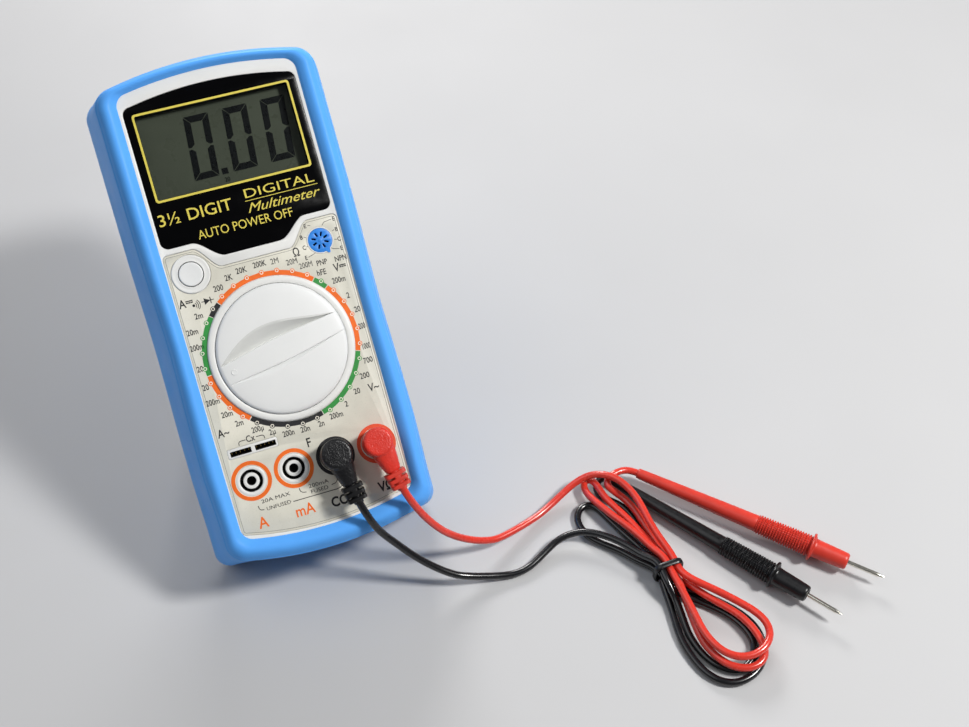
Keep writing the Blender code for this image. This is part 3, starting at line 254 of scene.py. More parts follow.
LCD_INK = surface("lcd_segment", srgb(6, 8, 11), 0.3, 0.15, 4, 0.3, 0.001, 0.05, specular=0.25)
INK_BLACK = surface("ink_black", srgb(27, 27, 30), 0.5, 0.15, 1.5, 0.3, 0.002)
INK_GREY = surface("ink_grey", srgb(118, 116, 108), 0.5, 0.1, 1.5, 0.3, 0.002)
INK_YELLOW = surface("ink_yellow", srgb(222, 205, 84), 0.45, 0.07, 2.0, 0.3, 0.002)
INK_ORANGE = surface("ink_orange", srgb(241, 108, 20), 0.5, 0.06, 3.0, 0.3, 0.002)
INK_ORANGE_RED = surface("ink_orange_red", srgb(222, 80, 44), 0.5, 0.06, 3.0, 0.3, 0.002)
INK_GREEN = surface("ink_green", srgb(46, 144, 62), 0.5, 0.08, 3.0, 0.3, 0.002)
INK_CREAM = surface("ink_cream", srgb(243, 238, 222), 0.5, 0.03, 3.0, 0.3, 0.002)
SOCKET_BLUE = surface("socket_blue", srgb(50, 136, 228), 0.38, 0.06, 4, 0.3, 0.006)
BLACK = surface("black_plastic", srgb(24, 24, 26), 0.42, 0.15, 5, 0.35, 0.01)
# Near-black painted shade, put in the gaps, bores and pits of the jacks and sockets and on the walls of the display
# opening.
PAINTED_SHADOW_BLACK = surface("shadow_black", srgb(7, 7, 8), 0.7, 0.2, 4, 0.4, 0.01, specular=0.15)
BRASS = surface("brass", srgb(214, 178, 102), 0.28, 0.06, 3, 0.25, 0.004, metallic=1.0)
STEEL = surface("steel", srgb(188, 189, 192), 0.27, 0.05, 3, 0.22, 0.003, metallic=1.0)
NICKEL = surface("nickel_plate", srgb(222, 218, 206), 0.2, 0.04, 2, 0.5, 0.003, metallic=1.0, brushed=(1, 1, 0.2))
RED_LEAD = surface("red_pvc", srgb(214, 56, 42), 0.26, 0.05, 12, 0.5, 0.005, 0.05, coat=0.45, sss=0.05)
BLACK_LEAD = surface("black_pvc", srgb(10, 10, 14), 0.26, 0.15, 12, 0.5, 0.005, 0.05, coat=0.45)
RED_GRIP = surface("red_moulded", srgb(203, 54, 40), 0.38, 0.06, 6, 0.3, 0.01, 0.07, sss=0.05)
BLACK_GRIP = surface("black_moulded", srgb(12, 12, 14), 0.33, 0.15, 6, 0.3, 0.01, 0.06, specular=0.5)
RED_STIPPLE = surface("red_stipple", srgb(216, 50, 36), 0.36, 0.05, 6, 0.5, 0.15, 0.06, sss=0.04)
BLACK_STIPPLE = surface("black_stipple", srgb(13, 13, 16), 0.33, 0.15, 6, 0.5, 0.15, 0.06)
BOARD = surface("board_green", srgb(30, 110, 62), 0.45, 0.12, 2.5, 0.25, 0.01, speck=(1.1, srgb(170, 168, 150), 0.7))
ZEBRA = surface("zebra_rubber", srgb(205, 150, 152), 0.6, 0.1, 1.0, 0.2, 0.01)
FUSE_GLASS = surface("fuse_glass", srgb(196, 208, 208), 0.12, 0.06, 3, 0.3, 0.001, specular=0.8)
BATTERY = surface("battery_shell", srgb(62, 64, 70), 0.33, 0.12, 8, 0.25, 0.003, metallic=0.4)


def clear_pane():
    mat = bpy.data.materials.new("window_clear")
    mat.use_nodes = True
    nt = mat.node_tree
    nt.nodes.clear()
    out = nt.nodes.new("ShaderNodeOutputMaterial")
    mix = nt.nodes.new("ShaderNodeMixShader")
    clear = nt.nodes.new("ShaderNodeBsdfTransparent")
    clear.inputs["Color"].default_value = (0.93, 0.95, 0.94, 1)
    gloss = nt.nodes.new("ShaderNodeBsdfGlossy")
    coords = nt.nodes.new("ShaderNodeTexCoord")
    cloud = nt.nodes.new("ShaderNodeTexNoise")
    cloud.inputs["Scale"].default_value = 90
    link(nt, coords.outputs["Object"], cloud.inputs["Vector"])
    span = nt.nodes.new("ShaderNodeMapRange")
    span.inputs["To Min"].default_value = 0.04
    span.inputs["To Max"].default_value = 0.12
    link(nt, cloud.outputs["Fac"], span.inputs["Value"])
    link(nt, span.outputs["Result"], gloss.inputs["Roughness"])
    edge = nt.nodes.new("ShaderNodeFresnel")
    edge.inputs["IOR"].default_value = 1.22
    link(nt, edge.outputs["Fac"], mix.inputs[0])
    link(nt, clear.outputs["BSDF"], mix.inputs[1])
    link(nt, gloss.outputs["BSDF"], mix.inputs[2])
    link(nt, mix.outputs["Shader"], out.inputs["Surface"])
    return mat


CLEAR = clear_pane()


# ------------------------------------------------------------------ mesh tools
class Shape:
    """Collects closed solids, each with its material, into one piece."""

    def __init__(self):
        self.verts, self.faces, self.slots, self.mats = [], [], [], []

    def add(self, solid, mat):
        verts, faces = solid
        if mat not in self.mats:
            self.mats.append(mat)
        slot = self.mats.index(mat)
        base = len(self.verts)
        self.verts += [tuple(p) for p in verts]
        self.faces += [[base + i for i in f] for f in faces]
        self.slots += [slot] * len(faces)
        return self

    def build(self, name, body, replaces=(), slot=None, world=False, angle=38, ride=True):
        co = np.array(self.verts, float)
        if world:
            co = co * MM
        else:
            co = co @ TO_WORLD + np.array(list(ORIGIN))
        mesh = bpy.data.meshes.new(name)
        mesh.from_pydata(co.tolist(), [], self.faces)
        for mat in self.mats:
            mesh.materials.append(mat)
        mesh.polygons.foreach_set("material_index", self.slots)
        bm = bmesh.new()
        bm.from_mesh(mesh)
        bmesh.ops.remove_doubles(bm, verts=bm.verts[:], dist=2e-7)
        bmesh.ops.recalc_face_normals(bm, faces=bm.faces[:])
        bm.to_mesh(mesh)
        bm.free()
        mesh.shade_smooth()
        mesh.set_sharp_from_angle(angle=deg(angle))
        obj = bpy.data.objects.new(name, mesh)
        bpy.context.scene.collection.objects.link(obj)
        if ride:
            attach(obj, body)
        if replaces:
            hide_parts(*replaces)
        return obj


def bridge(rings, closed=False):
    n = len(rings[0])
    verts = [p for ring in rings for p in ring]
    faces = []
    last = len(rings) if closed else len(rings) - 1
    for k in range(last):
        a, b = k * n, ((k + 1) % len(rings)) * n
        for i in range(n):
            j = (i + 1) % n
            faces.append([a + i, a + j, b + j, b + i])
    if not closed:
        faces.append(list(range(n))[::-1])
        faces.append([len(verts) - n + i for i in range(n)])
    return verts, faces


def prism(outline, w0, w1):
    return bridge([[(u, v, w0) for u, v in outline], [(u, v, w1) for u, v in outline]])


def circle(cu, cv, r, n=64, phase=0.0):
    return [
        (cu + r * math.cos(phase + 2 * PI * i / n), cv + r * math.sin(phase + 2 * PI * i / n))
        for i in range(n)
    ]


def rectangle(u0, u1, v0, v1):
    return [(u0, v0), (u1, v0), (u1, v1), (u0, v1)]


def rounded(u0, u1, v0, v1, r, n=6):
    out = []
    for cu, cv, start in ((u1 - r, v1 - r, 0), (u0 + r, v1 - r, 90), (u0 + r, v0 + r, 180), (u1 - r, v0 + r, 270)):
        for i in range(n + 1):
            a = deg(start + 90 * i / n)
            out.append((cu + r * math.cos(a), cv + r * math.sin(a)))
    return out


def area(loop):
    return 0.5 * sum(a[0] * b[1] - b[0] * a[1] for a, b in zip(loop, loop[1:] + loop[:1]))


def offset(loop, d):
    """Loop moved outwards by d, whichever way round it runs."""
    if area(loop) < 0:
        d = -d
    n = len(loop)
    out = []
    for i in range(n):
        p, q, r = loop[i - 1], loop[i], loop[(i + 1) % n]
        e1 = Vector((q[0] - p[0], q[1] - p[1]))
        e2 = Vector((r[0] - q[0], r[1] - q[1]))
        n1 = Vector((e1.y, -e1.x)).normalized() if e1.length > 1e-9 else Vector((0, 0))
        n2 = Vector((e2.y, -e2.x)).normalized() if e2.length > 1e-9 else n1
        m = n1 + n2
        if m.length < 1e-6:
            m = n1
        m.normalize()
        k = d / max(0.5, m.dot(n1 if n1.length else n2))
        out.append((q[0] + m.x * k, q[1] + m.y * k))
    return out


def plate(loops, w0, w1, bevel=0.0, hole_bevel=None):
    """Flat closed plate with holes; edges of the top face may be eased."""
    hole_bevel = bevel if hole_bevel is None else hole_bevel
    verts, faces, tops, bottoms = [], [], [], []
    for k, loop in enumerate(loops):
        b = bevel if k == 0 else hole_bevel
        sign = -1 if k == 0 else 1
        steps = [(0.0, w0)]
        if b:
            steps += [(0.0, w1 - b), (0.3 * b * sign, w1 - 0.3 * b), (b * sign, w1)]
        else:
            steps += [(0.0, w1)]
        base = len(verts)
        n = len(loop)
        for d, w in steps:
            ring = offset(loop, d) if d else loop
            verts += [(u, v, w) for u, v in ring]
        for s in range(len(steps) - 1):
            a = base + s * n
            for i in range(n):
                j = (i + 1) % n
                faces.append([a + i, a + j, a + n + j, a + n + i])
        bottoms.append(list(range(base, base + n)))
        tops.append(list(range(base + (len(steps) - 1) * n, base + len(steps) * n)))
    for group in (bottoms, tops):
        flat = [i for ring in group for i in ring]
        polys = [[Vector((verts[i][0], verts[i][1], 0)) for i in ring] for ring in group]
        for tri in geometry.tessellate_polygon(polys):
            faces.append([flat[i] for i in tri])
    return verts, faces


def turned(centre, axis, profile, n=48):
    axis = Vector(axis).normalized()
    side = axis.orthogonal().normalized()
    other = axis.cross(side)
    rings = []
    for along, radius in profile:
        rings.append(
            [
                tuple(
                    Vector(centre)
                    + axis * along
                    + (side * math.cos(a) + other * math.sin(a)) * max(radius, 0.01)
                )
                for a in (2 * PI * i / n for i in range(n))
            ]
        )
    return bridge(rings)


def pipe(centre, axis, profile, n=64):
    verts, faces = turned(centre, axis, profile, n)
    faces = faces[:-2]
    base = (len(profile) - 1) * n
    for i in range(n):
        j = (i + 1) % n
        faces.append([base + i, base + j, j, i])
    return verts, faces


def swept(points, radius, sides=14, squash=None):
    pts = [Vector(p) for p in points]
    tangents = [
        (pts[min(i + 1, len(pts) - 1)] - pts[max(i - 1, 0)]).normalized() for i in range(len(pts))
    ]
    normal = tangents[0].orthogonal().normalized()
    rings = []
    for i, (p, t) in enumerate(zip(pts, tangents)):
        normal = (normal - t * normal.dot(t)).normalized()
        across = t.cross(normal)
        r = radius(i) if callable(radius) else radius
        rings.append(
            [
                tuple(p + (normal * math.cos(a) + across * math.sin(a)) * r)
                for a in (2 * PI * k / sides for k in range(sides))
            ]
        )
    return bridge(rings)


def stroke(points, width, w0=-0.02, w1=0.04):
    """Printed line: an open run of (u, v) points given some width."""
    left, right = [], []
    for i, p in enumerate(points):
        a = Vector(points[max(i - 1, 0)])
        b = Vector(points[min(i + 1, len(points) - 1)])
        t = (b - a).normalized()
        left.append((p[0] - t.y * width / 2, p[1] + t.x * width / 2))
        right.append((p[0] + t.y * width / 2, p[1] - t.x * width / 2))
    return prism_strip(left, right, w0, w1)


def prism_strip(left, right, w0, w1):
    """Solid between two equally long rows of (u, v) points."""
    n = len(left)
    verts = [(u, v, w) for w in (w0, w1) for row in (left, right) for u, v in row]
    faces = []
    for i in range(n - 1):
        faces.append([i, i + 1, n + i + 1, n + i])
        faces.append([2 * n + i, 3 * n + i, 3 * n + i + 1, 2 * n + i + 1])
        faces.append([i, 2 * n + i, 2 * n + i + 1, i + 1])
        faces.append([n + i, n + i + 1, 3 * n + i + 1, 3 * n + i])
    faces.append([0, n, 3 * n, 2 * n])
    faces.append([n - 1, 3 * n - 1, 4 * n - 1, 2 * n - 1])
    return verts, faces


def band(cu, cv, r0, r1, a0, a1, w0=-0.02, w1=0.04, step=1.5):
    """Printed arc between two radii, angles in degrees."""
    n = max(2, int(abs(a1 - a0) / step) + 1)
    angles = [deg(a0 + (a1 - a0) * i / (n - 1)) for i in range(n)]
    return prism_strip(
        [(cu + r0 * math.cos(a), cv + r0 * math.sin(a)) for a in angles],
        [(cu + r1 * math.cos(a), cv + r1 * math.sin(a)) for a in angles],
        w0,
        w1,
    )


def printed_ring(cu, cv, r0, r1, w0=-0.02, w1=0.04, n=64):
    rings = []
    for r, w in ((r0, w0), (r1, w0), (r1, w1), (r0, w1)):
        rings.append([(u, v, w) for u, v in circle(cu, cv, r, n)])
    return bridge(rings, closed=True)


FONT = bpy.data.curves.new("print_font", "FONT")
FONT_OBJ = bpy.data.objects.new("print_font", FONT)
bpy.context.scene.collection.objects.link(FONT_OBJ)


def lettering(string, u, v, height, w0=-0.02, w1=0.04, squeeze=0.82, shear=0.0, bold=0.0, width=None):
    """Text as a thin closed solid, centred on (u, v); height is of a capital."""
    FONT.body = string
    FONT.size = 1.0
    FONT.shear = shear
    FONT.offset = bold
    FONT.extrude = 0.01
    FONT.resolution_u = 3
    FONT.fill_mode = "BOTH"
    bpy.context.view_layer.update()
    mesh = FONT_OBJ.evaluated_get(bpy.context.evaluated_depsgraph_get()).to_mesh()
    co = np.array([v_.co for v_ in mesh.vertices], float).reshape(-1, 3)
    scale = height / 0.69
    lo, hi = co[:, 0].min(), co[:, 0].max()
    if width:
        squeeze = width / ((hi - lo) * scale)
    out = [
        (
            u + (x - (lo + hi) / 2) * scale * squeeze,
            v + (y - 0.345) * scale,
            w1 if z > 0 else w0,
        )
        for x, y, z in co
    ]
    faces = [list(p.vertices) for p in mesh.polygons]
    FONT_OBJ.evaluated_get(bpy.context.evaluated_depsgraph_get()).to_mesh_clear()
    return out, faces


def smooth(x):
    x = min(max(x, 0.0), 1.0)
    return x * x * (3 - 2 * x)


def plan(a, vb, vt, rc, w, waist=0.0, top=1.0, bottom=1.0, corner=12, side=18, end=20):
    """Ring at height w: rounded rectangle whose ends bow outwards."""
    base = []
    centres = (
        (a - rc, vt - rc, 0.0),
        (-a + rc, vt - rc, 0.5 * PI),
        (-a + rc, vb + rc, PI),
        (a - rc, vb + rc, 1.5 * PI),
    )
    for k, (cu, cv, start) in enumerate(centres):
        for i in range(corner + 1):
            ang = start + 0.5 * PI * i / corner
            base.append((cu + rc * math.cos(ang), cv + rc * math.sin(ang)))
        nu, nv, nstart = centres[(k + 1) % 4]
        u0, v0 = base[-1]
        u1, v1 = nu + rc * math.cos(nstart), nv + rc * math.sin(nstart)
        steps = end if k % 2 == 0 else side
        for i in range(1, steps):
            t = i / steps
            base.append((u0 + (u1 - u0) * t, v0 + (v1 - v0) * t))
    ring = []
    for u, v in base:
        squeeze = 0.025 * math.exp(-(((v - 8) / 25) ** 2)) + 0.022 * smooth((-48 - v) / 28)
        u2 = u * (1 - waist * squeeze)
        v2 = v - top * 3.2 * (u2 / 32) ** 2 * smooth((v - 55) / 35)
        v2 += bottom * 5.0 * (u2 / 38) ** 2 * smooth((-35 - v) / 25)
        ring.append((u2, v2, w))
    return ring


def flat(ring):
    return [(u, v) for u, v, w in ring]


def catmull(p0, p1, p2, p3, t):
    return 0.5 * (
        2 * p1 + (p2 - p0) * t + (2 * p0 - 5 * p1 + 4 * p2 - p3) * t * t + (3 * p1 - p0 - 3 * p2 + p3) * t**3
    )


# ------------------------------------------------------------------ holster
c41, s41 = math.cos(deg(41)), math.sin(deg(41))
FLAT_TOP_W = BACK_W + 6.0 * s41
FLAT_IN_V = BASE_V + 6.0 * c41
keys = [
    (34.0, -58.0, 39.0, 4.0, BACK_W, 0, 0, 0),
    (41.5, FLAT_IN_V, 110.0, 7.0, BACK_W, 0, 0.6, 0),
    (46.2, BASE_V, 114.5, 7.5, FLAT_TOP_W, 0.3, 0.7, 0),
    (48.4, -87.4, 116.3, 5.8, -31.0, 0.5, 0.8, 0.3),
    (46.3, -86.6, 115.8, 5.6, -16.0, 0.8, 1.0, 0.7),
    (43.9, -85.5, 115.0, 6.0, -2.4, 1.0, 1.0, 1.0),
    (43.1, -84.7, 114.4, 5.6, -0.4, 1.0, 1.0, 1.0),
    (42.0, -83.2, 113.8, 5.4, 1.6, 0.95, 1.0, 1.0),
    (40.2, -81.3, 112.8, 5.1, 3.0, 0.9, 1.0, 1.0),
    (38.4, -79.3, 111.7, 4.7, 2.95, 0.75, 1.0, 1.0),
    (36.5, -77.4, 110.7, 4.3, 1.6, 0.4, 1.0, 1.0),
    (35.5, -76.2, 110.0, 4.0, 0.35, 0.2, 1.0, 1.0),
    (35.5, -76.2, 110.0, 4.0, -0.3, 0.2, 1.0, 1.0),
    (41.0, -82.2, 112.2, 5.0, -0.3, 0, 1.0, 1.0),
    (43.3, -83.0, 112.8, 6.0, SPLIT_W, 0, 1.0, 1.0),
    (44.3, -83.8, 113.4, 7.0, -31.0, 0, 1.0, 0.9),
    (43.4, -83.2, 112.8, 7.0, -38.0, 0, 1.0, 0.8),
    (40.8, -80.0, 109.6, 7.0, -40.8, 0, 0.8, 0.6),
    (34.0, -58.0, 39.0, 4.0, -40.8, 0, 0, 0),
]
keys = [np.array(k, float) for k in keys]
rings = []
for k, key in enumerate(keys):
    nxt = keys[(k + 1) % len(keys)]
    rings.append(plan(*key))
    if 2 <= k <= 10:
        before = keys[k - 1] if k > 2 else key * 2 - nxt
        after = keys[k + 2] if k < 10 else nxt * 2 - key
        steps = 8 if k < 5 else 4
        for i in range(1, steps):
            rings.append(plan(*catmull(before, key, nxt, after, i / steps)))
    elif k in (0, 18):
        for i in range(1, 4):
            rings.append(plan(*(key + (nxt - key) * i / 4)))
holster = Shape().add(bridge(rings, closed=True), BLUE)
holster.build("holster_shell", "meter_body", ["holster"], "holster_rubber", angle=50)


# ------------------------------------------------------------------ case front
def shoulder(u, low, high, start, stop):
    return low + (high - low) * smooth((abs(u) - start) / (stop - start))


def panel(half, foot_of, top_of, r, steps=20, corner=8):
    points = []
    for i in range(-steps * 2, steps * 2 + 1):
        u = (half - r) * i / (steps * 2)
        points.append((u, foot_of(u)))
    f, t = foot_of(half - r), top_of(half - r)
    for i in range(1, corner + 1):
        a = -0.5 * PI + 0.5 * PI * i / corner
        points.append((half - r + r * math.cos(a), f + r + r * math.sin(a)))
    for i in range(0, corner + 1):
        a = 0.5 * PI * i / corner
        points.append((half - r + r * math.cos(a), t - r + r * math.sin(a)))
    for i in range(2 * steps - 1, -2 * steps, -1):
        u = (half - r) * i / (2 * steps)
        points.append((u, top_of(u)))
    for i in range(0, corner + 1):
        a = 0.5 * PI + 0.5 * PI * i / corner
        points.append((-half + r + r * math.cos(a), t - r + r * math.sin(a)))
    for i in range(0, corner):
        a = PI + 0.5 * PI * i / corner
        points.append((-half + r + r * math.cos(a), f + r + r * math.sin(a)))
    return points


mask_outline = panel(
    34.1,
    lambda u: shoulder(u, 38.0, 45.4, 10.9, 22.8),
    lambda u: 104.9 - 3.7 * (u / 33) ** 2,
    3.0,
)
label_outline = panel(
    34.95,
    lambda u: -75.2 + 5.2 * (u / 36) ** 2,
    lambda u: shoulder(u, 33.9, 43.0, 13.6, 23.2),
    2.0,
)
face_holes = [
    rectangle(-31.4, 31.4, 63.0, 99.0),
    circle(0, DIAL_V, 26.6, 96),
    circle(*POWER_UV, 5.0, 48),
    circle(*HFE_UV, 4.95, 48),
    rectangle(*CX_BOX),
] + [circle(u, JACK_V, 4.5, 48) for u in JACK_U]

case = Shape()
outer = flat(plan(39.9, -80.6, 110.9, 5.0, 0))
case.add(plate([outer] + face_holes, -2.9, -0.6, 0.3, 0.0), WHITE)
wall = [
    plan(40.2, -79.9, 109.7, 6.0, SPLIT_W),
    plan(42.5, -82.2, 112.0, 6.5, SPLIT_W),
    plan(41.1, -81.7, 111.7, 6.0, -6.0),
    plan(40.4, -81.3, 111.5, 5.5, -2.0),
    plan(39.7, -80.5, 110.8, 5.0, -0.9),
    plan(37.5, -78.3, 108.5, 5.0, -0.9),
]
case.add(bridge(wall, closed=True), WHITE)
# Raised land round the window and the label; both sit in shallow recesses.
land_outer = flat(plan(35.85, -76.55, 110.35, 4.2, 0, 0.2))
case.add(
    plate([land_outer, offset(mask_outline, 0.14), offset(label_outline, 0.14)], -0.7, 0.42, 0.0, 0.24),
    WHITE,
)
# Rim round the dial, collar of the power button, rims of sockets and jacks.
case.add(
    pipe(
        (0, DIAL_V, 0),
        (0, 0, 1),
        (
            (-2.5, 26.12), (-2.5, 29.12), (0.15, 29.1), (0.6, 28.95), (0.95, 28.6), (1.15, 28.1),
            (1.2, 27.4), (1.2, 26.8), (1.1, 26.35), (0.85, 26.12),
        ),
        128,
    ),
    WHITE,
)
case.add(
    pipe(
        (*POWER_UV, 0),
        (0, 0, 1),
        (
            (-2.5, 5.0), (-2.5, 7.55), (0.12, 7.55), (0.3, 7.4), (0.38, 7.1), (0.26, 6.6),
            (0.2, 6.0), (0.26, 5.4), (0.3, 5.15), (0.2, 5.0),
        ),
        64,
    ),
    WHITE,
)
case.add(
    pipe((*HFE_UV, 0), (0, 0, 1), ((-2.5, 4.9), (-2.5, 5.35), (0.12, 5.35), (0.22, 5.25), (0.22, 5.0), (0.14, 4.9)), 48),
    WHITE,
)
for u in JACK_U:
    case.add(
        pipe(
            (u, JACK_V, 0),
            (0, 0, 1),
            ((-7.0, 4.62), (-7.0, 5.0), (-2.5, 5.9), (0.05, 5.95), (0.16, 5.8), (0.18, 4.8), (0.05, 4.62)),
            64,
        ),
        WHITE,
    )
    case.add(
        pipe(
            (u, JACK_V, 0),
            (0, 0, 1),
            ((-11, 3.2), (-0.5, 3.2), (-0.25, 3.0), (-0.2, 2.1), (-0.4, 1.85), (-1.05, 1.85), (-1.05, 2.95), (-11, 2.95)),
            48,
        ),
        WHITE,
    )
    # Near-black painted shade lines the gap round each jack's inner tube and the tube's bore.
    case.add(pipe((u, JACK_V, 0), (0, 0, 1), ((-11, 3.21), (-11, 4.61), (-0.9, 4.61), (-1.0, 4.5), (-2.6, 4.5), (-2.6, 3.21)), 48), PAINTED_SHADOW_BLACK)
    case.add(pipe((u, JACK_V, 0), (0, 0, 1), ((-9.0, 1.78), (-9.0, 1.84), (-0.45, 1.84), (-0.45, 1.78)), 32), PAINTED_SHADOW_BLACK)
    case.add(prism(circle(u, JACK_V, 1.8, 32), -9.0, -3.4), PAINTED_SHADOW_BLACK)
cx = rounded(CX_BOX[0] + 0.05, CX_BOX[1] - 0.05, CX_BOX[2] + 0.05, CX_BOX[3] - 0.05, 0.6)
slots = [rectangle(-30.9, -22.5, -39.55, -37.45), rectangle(-20.9, -12.6, -39.55, -37.45)]
case.add(plate([cx] + slots, -2.5, 0.14, 0.12, 0.08), WHITE)
case.build("case_front_shell", "meter_body", ["front_case"], "case_plastic")

cap_box = Shape()
# The floor and slot walls of the capacitor socket are near-black painted shade.
cap_box.add(plate([rounded(-31.6, -12.1, -40.0, -36.7, 0.4)], -7.0, -5.6), PAINTED_SHADOW_BLACK)
for loop in slots:
    inner = offset(loop, -0.35)
    cap_box.add(plate([offset(loop, -0.02), inner], -5.6, 0.02), PAINTED_SHADOW_BLACK)
    for k in range(5):
        u = loop[0][0] + 0.8 + k * (loop[1][0] - loop[0][0] - 1.6) / 4
        cap_box.add(prism(rectangle(u - 0.2, u + 0.2, -38.9, -38.1), -5.6, -5.0), BRASS)
cap_box.build("capacitor_socket_insert", "meter_body", ["capacitor_socket"], "black_plastic")

# ------------------------------------------------------------------ label
label_holes = [
    circle(0, DIAL_V, 29.15, 128),
    circle(*POWER_UV, 7.75, 64),
    circle(*HFE_UV, 5.4, 48),
    offset(cx, 0.12),
] + [circle(u, JACK_V, 6.0, 64) for u in JACK_U]
label = Shape().add(plate([label_outline] + label_holes, -0.5, 0.0, 0.06, 0.03), LABEL)
label.build("face_label_film", "meter_body", ["face_label"], "label_film")

ink = Shape()
edge_loop = offset(label_outline, -0.75)
ink.add(plate([edge_loop, offset(edge_loop, -0.14)], -0.02, 0.03), INK_GREY)
# Coloured band of the dial with its ring dots.
colours = (
    (140.05, 129.1, INK_BLACK),
    (128.5, 50.4, INK_ORANGE),
    (49.7, 39.1, INK_GREEN),
    (38.5, -17.1, INK_ORANGE),
    (-17.7, -73.4, INK_GREEN),
    (-74.0, -129.6, INK_BLACK),
    (-130.2, -174.6, INK_ORANGE),
    (184.8, 140.5, INK_GREEN),
)
for a0, a1, mat in colours:
    ink.add(band(0, DIAL_V, 29.2, 31.15, a0, a1), mat)
order = [INK_BLACK] + [INK_ORANGE] * 7 + [INK_GREEN] + [INK_ORANGE] * 5 + [INK_GREEN] * 5
order += [INK_BLACK] * 5 + [INK_ORANGE] * 4 + [INK_GREEN] * 4
for k in range(32):
    a = deg(134.43 - 11.25 * k)
    du, dv = 30.97 * math.cos(a), DIAL_V + 30.97 * math.sin(a)
    mat = order[k]
    ink.add(printed_ring(du, dv, 0.72, 1.02, 0.0, 0.05, 24), mat)
    ink.add(prism(circle(du, dv, 0.73, 24), 0.0, 0.06), INK_CREAM)
    ink.add(prism(circle(du, dv, 0.44, 16), 0.0, 0.075), mat)
texts = [None, "200", "2K", "20K", "200K", "2M", "20M", "200M", "hFE", "200m", "2", "20", "200", "1000"]
texts += ["700", "200", "20", "2", "200m", "2n", "20n", "200n", "2µ", "200µ", "2m", "20m", "200m", "20"]
texts += ["20", "200m", "20m", "2m"]
centres = [(-24, 22.3), (-17.5, 26), (-12.5, 29), (-7, 30.5), (0.5, 31), (6.5, 30.7), (13, 28.7), (18, 26)]
centres += [(23.3, 21.6), (29.1, 17.0), (31, 10), (33.3, 3.7), (33.3, -3.3), (33, -11.5), (31.7, -17.2), (28.7, -22.8)]
centres += [(24, -28), (18.5, -31.8), (13.4, -35), (6.7, -36.5), (0, -36.8), (-6.8, -36.5), (-12.8, -34.2)]
centres += [(-18, -31.5), (-24.2, -27.2), (-27.8, -22.5), (-31.8, -16.5), (-33.3, -10.2), (-33.5, -2.7)]
centres += [(-32.5, 5.8), (-31.8, 12), (-27.7, 17.5)]
for string, (u, v) in zip(texts, centres):
    if string:
        size = 2.25
        narrow = 0.68 if string in ("1000",) else 0.74 if len(string) > 3 else 0.8
        if u > 31.8 and len(string) > 2:
            narrow = 0.56
        half = 0.5 * len(string) * 1.62 * narrow * size / 2.3
        u = max(-34.1 + half, min(34.4 - half, u))
        ink.add(lettering(string, u, v, size, squeeze=narrow, bold=0.0 if "M" in string else 0.012), INK_BLACK)
# Buzzer and diode mark.
ink.add(prism([(-24.1, 21.0), (-21.7, 22.3), (-24.1, 23.6)], -0.02, 0.04), INK_BLACK)
ink.add(prism(rectangle(-21.8, -21.45, 21.0, 23.6), -0.02, 0.04), INK_BLACK)
ink.add(prism(rectangle(-25.2, -20.3, 22.16, 22.44), -0.02, 0.045), INK_BLACK)
for r in (1.1, 1.8, 2.5):
    ink.add(band(-28.4, 21.8, r - 0.13, r + 0.13, -48, 48), INK_BLACK)
ink.add(prism(circle(-28.4, 21.8, 0.55, 14), -0.02, 0.04), INK_BLACK)
for string, u, v, size in (
    ("Ω", 15.7, 31.8, 3.2),
    ("A⎓", -31.1, 23.5, 3.3),
    ("V⎓", 30.9, 21.9, 3.2),
    ("A~", -31.2, -29.3, 3.2),
    ("V~", 30.9, -28.2, 3.2),
    ("F", -0.1, -42.4, 3.6),
    ("Cx", -21.7, -34.2, 2.5),
    ("PNP", 24.5, 25.4, 2.1),
    ("NPN", 32.2, 25.2, 2.1),
):
    ink.add(lettering(string, u, v, size, squeeze=0.8, bold=0.012), INK_BLACK)
ink.add(stroke([(-26.6, -35.9), (-26.6, -35.0), (-26.3, -34.5), (-25.7, -34.3), (-23.7, -34.3)], 0.3), INK_BLACK)
ink.add(stroke([(-19.4, -34.3), (-17.2, -34.3), (-16.6, -34.5), (-16.3, -35.0), (-16.3, -35.9)], 0.3), INK_BLACK)
for string, u, v in (("E", 21.9, 40.9), ("B", 19.3, 36.9), ("C", 19.3, 32.7), ("E", 19.0, 28.6)):
    ink.add(lettering(string, u, v, 1.65, squeeze=0.85, bold=0.016), INK_BLACK)
for string, v in (("E", 41.0), ("B", 36.7), ("C", 32.7), ("E", 28.9)):
    ink.add(lettering(string, 33.7, v, 1.65, squeeze=0.85, bold=0.016), INK_BLACK)
for run in (
    [(22.9, 40.9), (24.0, 40.6)],
    [(20.2, 36.9), (21.0, 36.4)],
    [(20.2, 32.7), (20.9, 32.9)],
    [(19.9, 28.6), (22.5, 29.4), (23.6, 30.0)],
    [(32.8, 41.0), (29.6, 40.6), (28.5, 39.5)],
    [(32.8, 36.7), (31.8, 36.3)],
    [(32.8, 32.7), (31.8, 32.9)],
    [(32.8, 28.9), (30.5, 29.4), (29.2, 30.2)],
):
    ink.add(stroke(run, 0.2), INK_BLACK)
